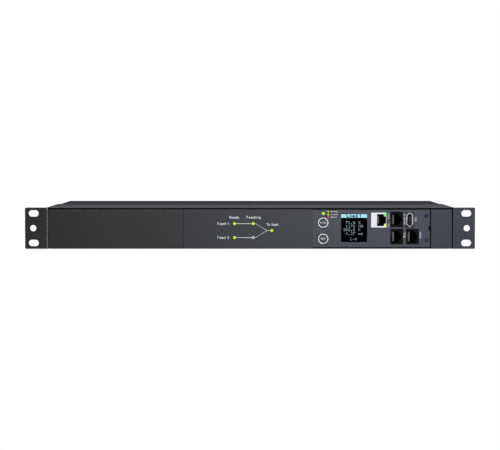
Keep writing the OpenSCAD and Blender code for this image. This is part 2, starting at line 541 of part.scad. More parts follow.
module heat_sink() color([0.72, 0.73, 0.75]) difference() {
  ext_z(ztop, 16) {
    rect([-172, 100], [-8, 105]);
    for (i = [0 : fin_n - 1]) rect([-172 + i * 162.4 / (fin_n - 1), 104.9], [-170.4 + i * 162.4 / (fin_n - 1), 130]);
  }
  for (i = [0 : 3]) cyl_y(-150 + 40 * i, 4, 99, 103.5, 1.55);
}
module thyristors() color([0.05, 0.05, 0.06]) for (x = scr_x) {
  difference() {
    blk([x - 7.9, 95, -8], [x + 7.9, 100, 13]);
    cyl_y(x, 9.5, 94, 101, 1.8);
  }
  for (q = [-5.45, 0, 5.45]) blk([x + q - 0.6, 97.2, ztop], [x + q + 0.6, 97.8, -7.9]);
}
module clamp_bar() color([0.7, 0.71, 0.73]) {
  difference() {
    blk([-170, 93, 1], [-10, 95, 7]);
    for (i = [0 : 3]) cyl_y(-150 + 40 * i, 4, 92, 96, 1.7);
  }
  // its four screws
  for (i = [0 : 3]) {
    cyl_y(-150 + 40 * i, 4, 91.2, 102.5, 1.5);
    cyl_y(-150 + 40 * i, 4, 91, 93, 2.8);
  }
}
module isolation_relays() color([0.08, 0.09, 0.12]) for (x = [-178, -142, -106, -70]) {
  ext_z(ztop + 0.5, 9) rrect([x - 16, 138], [x + 16, 165], 1);
  for (q = [-12, 12]) blk([x + q - 1.5, 150, ztop], [x + q + 1.5, 152, ztop + 0.6]);
}
module current_transformers() color([0.1, 0.12, 0.3]) for (x = [-40, -22]) difference() {
  cyl_x(172, ztop + 10.5, x - 4.5, x + 4.5, 10.5);
  cyl_x(172, ztop + 10.5, x - 5, x + 5, 5.6);
}
module filter_capacitors() color([0.75, 0.7, 0.15]) for (x = [-168, -132]) blk([x - 15.5, 72, ztop], [x + 15.5, 86, ztop + 20]);
module varistors() color([0.1, 0.25, 0.55]) for (x = [-106, -98, -72, -64]) union() {
  cyl_x(80, ztop + 9.5, x - 2, x + 2, 7.5);
  for (q = [-3.7, 3.7]) cyl_z(x, 80 + q, ztop, ztop + 4, 0.5);
}
module supply_transformers() color([0.75, 0.6, 0.2]) for (x = [-40, -4]) difference() {
  blk([x - 14, 72, ztop], [x + 14, 90, ztop + 22]);
  for (q = [-1, 1]) blk([x + q * 8 - 2, 71, ztop + 6], [x + q * 8 + 2, 74, ztop + 16]);
}
module reservoir_capacitors() color([0.08, 0.08, 0.2]) for (y = [112, 136]) cyl_z(8, y, ztop, ztop + 30, 9);
module terminal_blocks() color([0.15, 0.5, 0.25]) for (x = [-201, -166, -8]) difference() {
  blk([x, 168, ztop], [x + 30, 178, 1]);
  for (i = [0 : 2]) cyl_z(x + 5 + i * 10, 172, -5, 2, 2.5);
}
module control_board() color([0.05, 0.22, 0.35]) difference() {
  blk([34, 80, brd_z], [205, 190, ztop]);
  for (p = control_standoffs) cyl_z(p.x, p.y, brd_z - 1, ztop + 1, 1.65);
}
module control_chips() color([0.05, 0.05, 0.06]) {
  blk([100, 120, ztop], [120, 140, ztop + 1.6]);
  blk([132, 122, ztop], [146, 131, ztop + 1.2]);
  for (y = [150, 162]) blk([70, y, ztop], [82, y + 7, ztop + 2]);
  blk([60, 118, ztop], [76, 128, ztop + 12]);
  // cable headers
  blk([120, 84, ztop], [142, 92, ztop + 7]);
  blk([36, 84, ztop], [47, 90, ztop + 7]);
  blk([36, 110, ztop], [44, 130, ztop + 7]);
  blk([16, 90, ztop], [23, 101, ztop + 7]);
}
// flat cables: module to control board, mimic to control board, power board to control board
module ribbon_cables() color([0.6, 0.6, 0.62]) {
  blk([120, 14.6, -8], [142, 20, 0]);
  ext_x(121, 141) polygon([[20, -4.5], [40, -4.5], [86, 0], [88.5, 0], [88.5, ztop + 7], [87.6, ztop + 7], [87.6, -0.9], [86, -0.9], [40, -5.4], [20, -5.4]]);
  blk([37, 11.6, -8], [46, 16, 0]);
  ext_x(37.5, 45.5) polygon([[16, -3.5], [40, -3.5], [86, 0], [87.5, 0], [87.5, ztop + 7], [86.6, ztop + 7], [86.6, -0.9], [86, -0.9], [40, -4.4], [16, -4.4]]);
  ext_y(112, 128) polygon([[40.4, ztop + 7], [40.4, -1], [27, -1], [27, -8], [24, ztop + 0.9], [18, ztop + 0.9], [18, ztop], [24.6, ztop], [27.9, -8.2], [27.9, -1.9], [39.5, -1.9], [39.5, ztop + 7]]);
}
module power_wires() color([0.45, 0.25, 0.12]) {
  zi = inlet_z - 4;
  ye = yr - 39.05;             // back of the inlet blades
  yb = yr - 37.05;             // back of the breaker tabs
  yo = yr - 27.25;             // back of the outlet busbars
  // inlets to the input terminals
  for (x = inlet_x, q = [-6.5, 6.5]) wire([[x + q, ye, zi], [x + q, 178.05, zi]]);
  // output terminals through the current transformers to the breakers
  wire([[-8.05, 170, 1], [breaker_x[0], 170, 1], [breaker_x[0], yb, 1]]);
  wire([[-8.05, 174, 1], [breaker_x[1], 174, 1], [breaker_x[1], yb, 1]]);
  // breakers to the outlet banks
  wire([[breaker_x[0], yb, -9], [breaker_x[0], 190, -9], [-50, 190, -9], [-50, yo, -9]]);
  wire([[breaker_x[1], yb, -9], [breaker_x[1], 196, -9], [breaker_x[1], 196, -17], [90, 196, -17], [90, 196, -9], [90, yo, -9]]);
  // neutrals
  wire([[2, 178.05, -2.5], [2, yo, -2.5]]);
  wire([[14, 178.05, -2.5], [14, 186, -2.5], [100, 186, -2.5], [100, yo, -2.5]]);
}
module earth_wires() color([0.35, 0.6, 0.15]) {
  ye = yr - 39.05;
  yp = yr - 8.05;
  yo = yr - 27.25;
  wire([[inlet_x[0], ye, inlet_z + 4], [inlet_x[0], 192, 0], [inlet_x[0], 192, 12], [-128, 192, 12], [-128, yp, 12]]);
  wire([[inlet_x[1], ye, inlet_z + 4], [inlet_x[1], 188, 0], [inlet_x[1], 188, 6.5], [-120, 188, 6.5], [-120, yp, 6.5]]);
  wire([[-124, yp, 12], [-124, 222, 12], [-56, 222, 12], [-56, 206, 12], [-56, 206, 4], [-56, yo, 4]], b = 2.5);
  wire([[48, yo, 4], [48, 204, 4], [88, 204, 4], [88, yo, 4]]);
}

chassis_tray();
top_cover();
ear(-1);  // left_rack_ear
ear(1);  // right_rack_ear
ear_screws();
clinch_nuts();
cover_screws();
front_seal();
mimic_overlay_film();
light_pipes();
mimic_board();
mimic_leds();
panel_spacers();
module_faceplate();
module_bracket();
module_screws();
module_board();
display_window();
display_panel();
display_carrier();
select_button();
enter_button();
button_switches();
ethernet_jack();
ethernet_jack_leds();
jack_contacts();
data_jack_upper();
data_jack_lower_left();
data_jack_lower_right();
expansion_socket_shell();
expansion_socket_insert();
inlet_a();
inlet_b();
inlet_blades();
circuit_breakers();
breaker_button_a();
breaker_button_b();
breaker_nuts();
outlet_banks();
outlet_busbars();
earth_stud();
insulation_sheet();
board_standoffs();
board_screws();
power_board();
heat_sink();
thyristors();
clamp_bar();
isolation_relays();
current_transformers();
filter_capacitors();
varistors();
supply_transformers();
reservoir_capacitors();
terminal_blocks();
control_board();
control_chips();
ribbon_cables();
power_wires();
earth_wires();
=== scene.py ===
import math
import bpy, bmesh
from mathutils import Vector, Matrix


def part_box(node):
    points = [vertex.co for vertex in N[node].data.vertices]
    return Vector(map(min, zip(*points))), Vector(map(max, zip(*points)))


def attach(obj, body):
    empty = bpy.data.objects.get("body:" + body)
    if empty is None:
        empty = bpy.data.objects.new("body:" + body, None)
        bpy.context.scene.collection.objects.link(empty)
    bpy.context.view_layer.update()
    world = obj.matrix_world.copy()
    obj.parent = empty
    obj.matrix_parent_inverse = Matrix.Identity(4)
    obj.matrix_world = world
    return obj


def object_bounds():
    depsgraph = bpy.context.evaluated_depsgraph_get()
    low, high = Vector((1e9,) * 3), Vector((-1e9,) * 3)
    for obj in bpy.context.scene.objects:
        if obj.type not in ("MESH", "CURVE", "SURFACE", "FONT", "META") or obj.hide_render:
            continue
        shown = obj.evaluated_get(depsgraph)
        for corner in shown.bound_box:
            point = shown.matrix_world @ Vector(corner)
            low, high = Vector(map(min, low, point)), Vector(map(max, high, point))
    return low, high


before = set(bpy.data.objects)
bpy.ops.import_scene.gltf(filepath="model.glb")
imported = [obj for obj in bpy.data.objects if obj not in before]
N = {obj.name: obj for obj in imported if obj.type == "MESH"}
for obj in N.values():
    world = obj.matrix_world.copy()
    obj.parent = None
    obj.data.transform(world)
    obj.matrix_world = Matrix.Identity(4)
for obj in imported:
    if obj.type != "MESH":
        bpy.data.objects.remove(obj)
BOX0 = [list(v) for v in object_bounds()]
MM = 0.001


# ------------------------------------------------------------------ camera
scene = bpy.context.scene
cam_data = bpy.data.cameras.new("camera")
cam_data.lens = 130.2
cam_data.sensor_width = 36.0
cam_data.clip_start = 0.05
cam = bpy.data.objects.new("camera", cam_data)
scene.collection.objects.link(cam)
cam.location = (0.0, -1.9394, 0.0892)
cam.rotation_euler = (math.radians(90 - 2.534), 0, 0)
scene.camera = cam
scene.view_settings.view_transform = "Standard"
scene.view_settings.look = "None"
scene.view_settings.exposure = 0
scene.view_settings.gamma = 1


# ------------------------------------------------------------------ colour
def lin(c):
    c = c / 255.0
    return c / 12.92 if c <= 0.04045 else ((c + 0.055) / 1.055) ** 2.4


def rgb(r, g, b):
    return (lin(r), lin(g), lin(b), 1.0)


# ------------------------------------------------------------------ materials
def new_mat(name):
    m = bpy.data.materials.new(name)
    m.use_nodes = True
    nt = m.node_tree
    nt.nodes.clear()
    out = nt.nodes.new("ShaderNodeOutputMaterial")
    b = nt.nodes.new("ShaderNodeBsdfPrincipled")
    nt.links.new(b.outputs[0], out.inputs[0])
    return m, nt, b


def node(nt, kind, **kw):
    n = nt.nodes.new(kind)
    for k, v in kw.items():
        setattr(n, k, v)
    return n


def coords(nt, scale=(1, 1, 1)):
    tc = node(nt, "ShaderNodeTexCoord")
    mp = node(nt, "ShaderNodeMapping")
    mp.inputs["Scale"].default_value = scale
    nt.links.new(tc.outputs["Object"], mp.inputs["Vector"])
    return mp.outputs["Vector"]


def noise(nt, vec, scale, detail=3.0, rough=0.55):
    n = node(nt, "ShaderNodeTexNoise")
    n.inputs["Scale"].default_value = scale
    n.inputs["Detail"].default_value = detail
    n.inputs["Roughness"].default_value = rough
    nt.links.new(vec, n.inputs["Vector"])
    return n.outputs["Fac"]


def ramp(nt, fac, stops):
    r = node(nt, "ShaderNodeValToRGB")
    e = r.color_ramp.elements
    while len(e) > 1:
        e.remove(e[-1])
    e[0].position, e[0].color = stops[0][0], stops[0][1]
    for p, c in stops[1:]:
        k = e.new(p)
        k.color = c
    nt.links.new(fac, r.inputs["Fac"])
    return r.outputs["Color"]


def maprange(nt, fac, a, b, c, d):
    m = node(nt, "ShaderNodeMapRange")
    for i, v in zip((1, 2, 3, 4), (a, b, c, d)):
        m.inputs[i].default_value = v
    nt.links.new(fac, m.inputs[0])
    return m.outputs[0]


def math_node(nt, op, a, b=None, c=None):
    m = node(nt, "ShaderNodeMath", operation=op)
    for i, v in enumerate((a, b, c)):
        if v is None:
            continue
        if isinstance(v, (int, float)):
            m.inputs[i].default_value = v
        else:
            nt.links.new(v, m.inputs[i])
    return m.outputs[0]


def mix_rgb(nt, fac, a, b, blend="MIX"):
    m = node(nt, "ShaderNodeMix", data_type="RGBA", blend_type=blend)
    ins = [i for i in m.inputs if i.enabled]
    for sock, v in zip(ins, (fac, a, b)):
        if isinstance(v, (int, float)) or isinstance(v, tuple):
            sock.default_value = v
        else:
            nt.links.new(v, sock)
    return [o for o in m.outputs if o.enabled][0]


def bump(nt, b, height, strength, dist):
    n = node(nt, "ShaderNodeBump")
    n.inputs["Strength"].default_value = strength
    n.inputs["Distance"].default_value = dist
    nt.links.new(height, n.inputs["Height"])
    nt.links.new(n.outputs[0], b.inputs["Normal"])
    return n


def depth_mask(nt, y0, y1):
    """0 in front of y0 and 1 behind y1 (metres along the part's own y)."""
    tc = node(nt, "ShaderNodeTexCoord")
    sep = node(nt, "ShaderNodeSeparateXYZ")
    nt.links.new(tc.outputs["Object"], sep.inputs[0])
    return maprange(nt, sep.outputs["Y"], y0, y1, 0.0, 1.0)


def shade(c, k):
    return (c[0] * k, c[1] * k, c[2] * k, 1.0)


def powder(name, base, rough=(0.42, 0.56), grain=1400, grain_k=0.10, bump_k=0.18, spec=0.5, edge=0.0, dark=None, painted_bend_light=None):
    """Fine powder coat: a leathery micro texture, slight cloud of tone, rough sheen."""
    m, nt, b = new_mat(name)
    v = coords(nt)
    fine = noise(nt, v, grain, 2.0, 0.6)
    mid = noise(nt, v, grain / 3.5, 2.0, 0.5)
    cloud = noise(nt, v, 16.0, 3.0, 0.5)
    c1 = ramp(nt, fine, [(0.30, shade(base, 1 - grain_k)), (0.70, shade(base, 1 + grain_k))])
    c2 = ramp(nt, cloud, [(0.30, (0.97, 0.97, 0.97, 1)), (0.70, (1.03, 1.03, 1.03, 1))])
    col = mix_rgb(nt, 1.0, c1, c2, "MULTIPLY")
    # painted highlight: sharp convex edges, found by pointiness, are lightened up to 1.9 times the base colour
    if edge:
        g = node(nt, "ShaderNodeNewGeometry")
        k = maprange(nt, g.outputs["Pointiness"], 0.5, 0.62, 0.0, edge)
        col = mix_rgb(nt, k, col, shade(base, 1.9))
    # painted shade: behind y0 the coat goes to near black, fully so behind y1
    if dark:
        col = mix_rgb(nt, depth_mask(nt, dark[0], dark[1]), col, rgb(1, 1, 1))
    if painted_bend_light:
        # painted light along a sharp bend, within x0 to x1: the given colour stands in for a grazing light from the
        # right, a painted highlight on the left ear's bend and painted shade on the right ear's bend
        tc = node(nt, "ShaderNodeTexCoord")
        sep = node(nt, "ShaderNodeSeparateXYZ")
        nt.links.new(tc.outputs["Object"], sep.inputs[0])
        k0 = maprange(nt, sep.outputs["X"], painted_bend_light[0] - 0.00012, painted_bend_light[0] + 0.00012, 0.0, 1.0)
        k1 = maprange(nt, sep.outputs["X"], painted_bend_light[1] - 0.00012, painted_bend_light[1] + 0.00012, 1.0, 0.0)
        kf = maprange(nt, sep.outputs["Y"], 0.0005, 0.0012, 1.0, 0.0)
        k = math_node(nt, "MULTIPLY", math_node(nt, "MULTIPLY", k0, k1), kf)
        col = mix_rgb(nt, k, col, painted_bend_light[2])
    nt.links.new(col, b.inputs["Base Color"])
    nt.links.new(maprange(nt, mid, 0.3, 0.7, rough[0], rough[1]), b.inputs["Roughness"])
    h = math_node(nt, "ADD", math_node(nt, "MULTIPLY", fine, 0.6), math_node(nt, "MULTIPLY", mid, 0.8))
    bump(nt, b, h, bump_k, 0.0002)
    b.inputs["Specular IOR Level"].default_value = spec
    return m


def plastic(name, base, rough=(0.35, 0.5), grain=2500, var=0.08, bump_k=0.08, spec=0.5, coat=0.0, mottle=0.0, dark=None, emit=0.0):
    m, nt, b = new_mat(name)
    v = coords(nt)
    fine = noise(nt, v, grain, 2.0, 0.6)
    cloud = noise(nt, v, 70.0, 3.0, 0.5)
    c1 = ramp(nt, fine, [(0.3, shade(base, 1 - var)), (0.7, shade(base, 1 + var))])
    c2 = ramp(nt, cloud, [(0.3, (1 - 0.04 - mottle,) * 3 + (1,)), (0.7, (1.04 + mottle,) * 3 + (1,))])
    col = mix_rgb(nt, 1.0, c1, c2, "MULTIPLY")
    if dark:
        # a deep cavity that no light reaches
        col = mix_rgb(nt, depth_mask(nt, dark[0], dark[1]), col, rgb(2, 2, 2))
    nt.links.new(col, b.inputs["Base Color"])
    # painted light: the surface glows by its own colour
    if emit:
        nt.links.new(col, b.inputs["Emission Color"])
        b.inputs["Emission Strength"].default_value = emit
    nt.links.new(maprange(nt, cloud, 0.3, 0.7, rough[0], rough[1]), b.inputs["Roughness"])
    bump(nt, b, fine, bump_k, 0.0001)
    b.inputs["Specular IOR Level"].default_value = spec
    if coat:
        b.inputs["Coat Weight"].default_value = coat
        b.inputs["Coat Roughness"].default_value = 0.15
    return m


def metal(name, base, rough=(0.22, 0.38), stretch=(1, 1, 1), grain=900, bump_k=0.1, var=0.12, emit=0.0):
    """Bare or plated metal with a fine directional grain."""
    m, nt, b = new_mat(name)
    v = coords(nt, stretch)
    fine = noise(nt, v, grain, 3.0, 0.65)
    cloud = noise(nt, coords(nt), 120.0, 3.0, 0.5)
    c1 = ramp(nt, fine, [(0.3, shade(base, 1 - var)), (0.7, shade(base, 1 + var * 0.4))])
    nt.links.new(c1, b.inputs["Base Color"])
    b.inputs["Metallic"].default_value = 1.0
    # painted light: the metal glows by its own colour
    if emit:
        nt.links.new(c1, b.inputs["Emission Color"])
        b.inputs["Emission Strength"].default_value = emit
    nt.links.new(maprange(nt, cloud, 0.3, 0.7, rough[0], rough[1]), b.inputs["Roughness"])
    bump(nt, b, fine, bump_k, 0.00008)
    return m


def glow(name, base, emit, strength, rough=0.25, var=0.06):
    """A lit lens: a brighter middle grain with a soft mottling."""
    m, nt, b = new_mat(name)
    v = coords(nt)
    fine = noise(nt, v, 900.0, 2.0, 0.5)
    c = ramp(nt, fine, [(0.3, shade(base, 1 - var)), (0.7, shade(base, 1 + var))])
    e = ramp(nt, fine, [(0.3, shade(emit, 1 - var)), (0.7, shade(emit, 1 + var))])
    nt.links.new(c, b.inputs["Base Color"])
    nt.links.new(e, b.inputs["Emission Color"])
    b.inputs["Emission Strength"].default_value = strength
    b.inputs["Roughness"].default_value = rough
    return m


def ink(name, base, emit=0.0, var=0.05, rough=0.45, spec=0.5):
    """Screen print: an even ink film with a slight mottle."""
    m, nt, b = new_mat(name)
    v = coords(nt)
    fine = noise(nt, v, 3000.0, 2.0, 0.6)
    c = ramp(nt, fine, [(0.3, shade(base, 1 - var)), (0.7, shade(base, 1 + var))])
    nt.links.new(c, b.inputs["Base Color"])
    b.inputs["Roughness"].default_value = rough
    b.inputs["Specular IOR Level"].default_value = spec
    bump(nt, b, fine, 0.05, 0.00005)
    # painted light: with emit the print glows by its own colour
    if emit:
        nt.links.new(c, b.inputs["Emission Color"])
        b.inputs["Emission Strength"].default_value = emit
    return m


PAINT = powder("charcoal_powder_coat", rgb(70, 72, 77), rough=(0.50, 0.62), spec=0.25)
# painted highlight: a pale stripe along the left ear's bend, for a grazing light from the right
EAR_LEFT = powder("left_ear_coat_painted_highlight", rgb(70, 72, 77), rough=(0.50, 0.62), spec=0.25, painted_bend_light=(-0.21765, -0.2165, rgb(176, 178, 186)))
# painted shade: a dark stripe along the right ear's bend, which faces away from that light
EAR_RIGHT = powder("right_ear_coat_painted_shade", rgb(70, 72, 77), rough=(0.50, 0.62), spec=0.25, painted_bend_light=(0.2165, 0.21765, rgb(22, 22, 25)))
MODULE = powder("module_powder_coat", rgb(80, 83, 92), rough=(0.50, 0.62), spec=0.25)
FILM = powder("overlay_film", rgb(70, 73, 82), rough=(0.50, 0.60), grain=2200, grain_k=0.06, bump_k=0.10, spec=0.25)
BUTTON = powder("button_cap", rgb(75, 78, 86), rough=(0.50, 0.60), grain=2400, grain_k=0.06, bump_k=0.08, spec=0.25)
BLACK_STEEL = powder("black_oxide", rgb(34, 34, 37), rough=(0.3, 0.45), grain=2600, grain_k=0.1, bump_k=0.1)
# black foam of the front seal; its black also stands in for the shadow gap between the top cover and the front wall:
# painted shade
FOAM = plastic("black_foam", rgb(20, 20, 20), rough=(0.85, 0.95), grain=1800, var=0.3, bump_k=0.5, spec=0.2)
# painted shade: the data jacks go to near black towards the back of their cavities
JACK_BLACK = plastic("jack_black_painted_shade", rgb(30, 29, 27), rough=(0.6, 0.75), spec=0.01, dark=(-0.0017, -0.0009))
# painted shade: the screws go to near black from just in front of the plate face backwards
SCREW = powder("module_screw_paint_shaded", rgb(76, 79, 87), rough=(0.50, 0.62), spec=0.25, dark=(-0.00212, -0.00195))
PLASTIC = plastic("moulded_black", rgb(30, 30, 31), rough=(0.42, 0.58), bump_k=0.2)
# painted light: the jack's pale shell glows by its own colour; painted shade: deep inside it goes to near black
SHELL_WHITE = plastic("pale_shell_glow_and_shade", rgb(243, 242, 246), rough=(0.5, 0.6), var=0.02, spec=0.02, dark=(-0.0022, -0.0019), emit=0.19)
# painted light: the contacts glow by their own colour
GOLD = plastic("contact_bronze_painted_glow", rgb(150, 141, 124), rough=(0.4, 0.5), spec=0.12, var=0.1, emit=0.14)
SOCKET_CORE = plastic("socket_core", rgb(56, 56, 56), rough=(0.55, 0.7), spec=0.1)
# the bracket's near-black also stands in for the shade in the gaps and the notch round the module: painted shade
BRACKET = powder("black_bracket_painted_shade", rgb(9, 9, 10), rough=(0.6, 0.7), spec=0.04, grain=2600, bump_k=0.1)
ZINC = metal("bright_zinc", rgb(195, 197, 202), rough=(0.25, 0.42))
# painted light: the socket's rim glows by its own colour
BRIGHT = metal("bright_shell_painted_glow", rgb(166, 162, 154), rough=(0.42, 0.55), stretch=(1, 0.1, 1), emit=0.12)
NICKEL = metal("nickel_blade", rgb(205, 202, 190), rough=(0.2, 0.35), stretch=(1, 0.1, 1))
BRASS = metal("brass", rgb(200, 165, 90), rough=(0.25, 0.4))
COPPER_BAR = metal("busbar", rgb(205, 160, 95), rough=(0.3, 0.45), stretch=(0.1, 1, 1))
ALU = metal("extruded_aluminium", rgb(200, 202, 205), rough=(0.3, 0.45), stretch=(1, 1, 0.08))
BOARD = plastic("solder_mask_green", rgb(16, 82, 46), rough=(0.25, 0.4), grain=700, var=0.18, coat=0.4)
BOARD_B = plastic("solder_mask_blue", rgb(14, 52, 92), rough=(0.25, 0.4), grain=700, var=0.18, coat=0.4)
EPOXY = plastic("lamp_epoxy", rgb(225, 230, 210), rough=(0.15, 0.25), var=0.04)
RED = plastic("red_button", rgb(178, 24, 20), rough=(0.28, 0.38), var=0.05)
SHEET = plastic("insulation_sheet", rgb(222, 212, 170), rough=(0.5, 0.6), grain=500, var=0.05)
RELAY = plastic("relay_case", rgb(32, 36, 44), rough=(0.25, 0.35))
TOROID = plastic("potted_blue", rgb(28, 40, 120), rough=(0.3, 0.45), mottle=0.05)
YELLOW = plastic("cast_resin_yellow", rgb(205, 180, 50), rough=(0.25, 0.35))
VARISTOR = plastic("dipped_blue", rgb(30, 80, 160), rough=(0.3, 0.45), grain=900, bump_k=0.3)
WINDING = plastic("taped_winding", rgb(200, 165, 60), rough=(0.3, 0.45), grain=300, var=0.15)
SLEEVE = plastic("shrink_sleeve", rgb(24, 26, 62), rough=(0.22, 0.32))
TERMINAL = plastic("terminal_green", rgb(40, 125, 70), rough=(0.35, 0.5))
RIBBON = plastic("flat_cable", rgb(165, 165, 168), rough=(0.45, 0.6), grain=400, var=0.08)
WIRE = plastic("pvc_brown", rgb(95, 52, 30), rough=(0.35, 0.45))
# painted light: these print inks glow by their own colour, by the given emission strength
INK = ink("print_pale", rgb(222, 223, 228), 0.12)
INK_FILM = ink("print_film", rgb(226, 228, 234), 0.52)
INK_GREY = ink("print_grey", rgb(190, 192, 200), 0.10)
INK_WHITE = ink("print_white", rgb(248, 248, 250))
INK_GREY_FILM = ink("print_grey_film", rgb(188, 190, 198), 0.32)
# painted shade for edges
INK_EDGE_SHADE = ink("edge_painted_shade", rgb(24, 25, 27), spec=0.1)
INK_SHADOW = ink("shadow_paint", rgb(5, 5, 6), rough=0.8, spec=0.02)


def earth_wire_mat():
    """Green insulation with a yellow stripe wound along it."""
    m, nt, b = new_mat("pvc_green_yellow")
    v = coords(nt)
    w = node(nt, "ShaderNodeTexWave", wave_type="BANDS", bands_direction="DIAGONAL")
    w.inputs["Scale"].default_value = 60.0
    nt.links.new(v, w.inputs["Vector"])
    c = ramp(nt, w.outputs["Fac"], [(0.45, rgb(60, 120, 40)), (0.55, rgb(215, 200, 50))])
    nt.links.new(c, b.inputs["Base Color"])
    b.inputs["Roughness"].default_value = 0.4
    return m


EARTH = earth_wire_mat()


def window_mat():
    m, nt, b = new_mat("display_lens")
    v = coords(nt)
    f = noise(nt, v, 40.0, 2.0, 0.5)
    c = ramp(nt, f, [(0.3, rgb(2, 2, 3)), (0.7, rgb(4, 5, 6))])
    nt.links.new(c, b.inputs["Base Color"])
    nt.links.new(maprange(nt, f, 0.3, 0.7, 0.05, 0.08), b.inputs["Roughness"])
    b.inputs["Specular IOR Level"].default_value = 0.02
    return m


WINDOW = window_mat()


def light_pipe_mat():
    """Moulded lens. All are lit yellow-green but the one of the input that is not selected."""
    m, nt, b = new_mat("light_pipe_lens")
    tc = node(nt, "ShaderNodeTexCoord")
    sep = node(nt, "ShaderNodeSeparateXYZ")
    nt.links.new(tc.outputs["Object"], sep.inputs[0])
    X, Z = 0.0035, -0.01005
    dx = math_node(nt, "SUBTRACT", sep.outputs["X"], X)
    dz = math_node(nt, "SUBTRACT", sep.outputs["Z"], Z)
    d = math_node(nt, "SQRT", math_node(nt, "ADD", math_node(nt, "MULTIPLY", dx, dx), math_node(nt, "MULTIPLY", dz, dz)))
    lit = math_node(nt, "GREATER_THAN", d, 0.004)
    fine = noise(nt, tc.outputs["Object"], 700.0, 2.0, 0.5)
    on = ramp(nt, fine, [(0.3, rgb(176, 246, 30)), (0.7, rgb(188, 254, 44))])
    # the unlit lens: a pale rim and a dark middle
    rim = maprange(nt, d, 0.0006, 0.0010, 0.0, 1.0)
    off = mix_rgb(nt, rim, rgb(58, 62, 64), rgb(226, 232, 236))
    nt.links.new(mix_rgb(nt, lit, off, rgb(52, 82, 10)), b.inputs["Base Color"])
    # painted light: the lens that is not lit still glows a dim grey
    e = mix_rgb(nt, lit, shade(rgb(150, 155, 158), 0.5), on)
    # only the tip glows; the shank behind the front wall stays dark
    e = mix_rgb(nt, depth_mask(nt, -0.0018, -0.0012), e, rgb(12, 18, 4))
    nt.links.new(e, b.inputs["Emission Color"])
    b.inputs["Emission Strength"].default_value = 0.92
    b.inputs["Roughness"].default_value = 0.3
    return m


PIPE = light_pipe_mat()


def jack_lamp_mat():
    """The two lamps of the network jack: green above, yellow below."""
    m, nt, b = new_mat("jack_lamp_lens")
    tc = node(nt, "ShaderNodeTexCoord")
    sep = node(nt, "ShaderNodeSeparateXYZ")
    nt.links.new(tc.outputs["Object"], sep.inputs[0])
    up = math_node(nt, "GREATER_THAN", sep.outputs["Z"], 0.00875)
    fine = noise(nt, tc.outputs["Object"], 700.0, 2.0, 0.5)
    g = ramp(nt, fine, [(0.3, rgb(4, 246, 8)), (0.7, rgb(10, 254, 16))])
    y = ramp(nt, fine, [(0.3, rgb(246, 240, 4)), (0.7, rgb(254, 250, 12))])
    c = mix_rgb(nt, up, y, g)
    nt.links.new(mix_rgb(nt, 1.0, c, (0.03, 0.03, 0.03, 1.0), "MULTIPLY"), b.inputs["Base Color"])
    nt.links.new(c, b.inputs["Emission Color"])
    b.inputs["Emission Strength"].default_value = 0.95
    b.inputs["Roughness"].default_value = 0.3
    return m


JACK_LAMP = jack_lamp_mat()

MATS = {
    "chassis_tray": PAINT, "top_cover": PAINT, "left_rack_ear": EAR_LEFT, "right_rack_ear": EAR_RIGHT,
    "ear_screws": BLACK_STEEL, "clinch_nuts": ZINC, "cover_screws": BLACK_STEEL, "front_seal": FOAM,
    "mimic_overlay_film": FILM, "light_pipes": PIPE, "mimic_board": BOARD, "mimic_leds": EPOXY,
    "panel_spacers": BRASS, "module_faceplate": MODULE, "module_bracket": BRACKET,
    "module_screws": SCREW, "module_board": BOARD, "display_window": WINDOW,
    "display_panel": PLASTIC, "display_carrier": PLASTIC, "select_button": BUTTON,
    "enter_button": BUTTON, "button_switches": ZINC, "ethernet_jack": SHELL_WHITE,
    "ethernet_jack_leds": JACK_LAMP, "jack_contacts": GOLD, "data_jack_upper": JACK_BLACK,
    "data_jack_lower_left": JACK_BLACK, "data_jack_lower_right": JACK_BLACK,
    "expansion_socket_shell": BRIGHT, "expansion_socket_insert": SOCKET_CORE,
    "inlet_a": PLASTIC, "inlet_b": PLASTIC, "inlet_blades": NICKEL, "circuit_breakers": PLASTIC,
    "breaker_button_a": RED, "breaker_button_b": RED, "breaker_nuts": ZINC, "outlet_banks": PLASTIC,
    "outlet_busbars": COPPER_BAR, "earth_stud": ZINC, "insulation_sheet": SHEET,
    "board_standoffs": ZINC, "board_screws": ZINC, "power_board": BOARD, "heat_sink": ALU,
    "thyristors": RELAY, "clamp_bar": ZINC, "isolation_relays": RELAY,
    "current_transformers": TOROID, "filter_capacitors": YELLOW, "varistors": VARISTOR,
    "supply_transformers": WINDING, "reservoir_capacitors": SLEEVE, "terminal_blocks": TERMINAL,
    "control_board": BOARD_B, "control_chips": PLASTIC, "ribbon_cables": RIBBON,
    "power_wires": WIRE, "earth_wires": EARTH,
}
for name, ob in N.items():
    mat = MATS[name]
    if ob.material_slots:
        for s in ob.material_slots:
            s.material = mat
    else:
        ob.data.materials.append(mat)


# ------------------------------------------------------------------ print and small pieces
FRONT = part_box("mimic_overlay_film")[0].y          # face of the film
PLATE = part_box("module_faceplate")[0].y            # face of the module
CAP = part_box("select_button")[0].y                 # face of a push button
T = 0.00004                                        # thickness of printed ink


def piece(name, bm, mat, body):
    me = bpy.data.meshes.new(name)
    bmesh.ops.recalc_face_normals(bm, faces=bm.faces)
    bm.to_mesh(me)
    bm.free()
    me.materials.append(mat)
    ob = bpy.data.objects.new(name, me)
    scene.collection.objects.link(ob)
    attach(ob, body)
    return ob


def slab(bm, pts, y0, y1):
    """A closed prism from points (x, z) in millimetres, from y0 to y1 in metres."""
    a = [bm.verts.new((x * MM, y0, z * MM)) for x, z in pts]
    b = [bm.verts.new((x * MM, y1, z * MM)) for x, z in pts]
    bm.faces.new(a)
    bm.faces.new(b[::-1])
    n = len(pts)
    for i in range(n):
        bm.faces.new((a[i], a[(i + 1) % n], b[(i + 1) % n], b[i]))


def bar(bm, x0, z0, x1, z1, y0, y1):
    slab(bm, [(x0, z0), (x1, z0), (x1, z1), (x0, z1)], y0, y1)


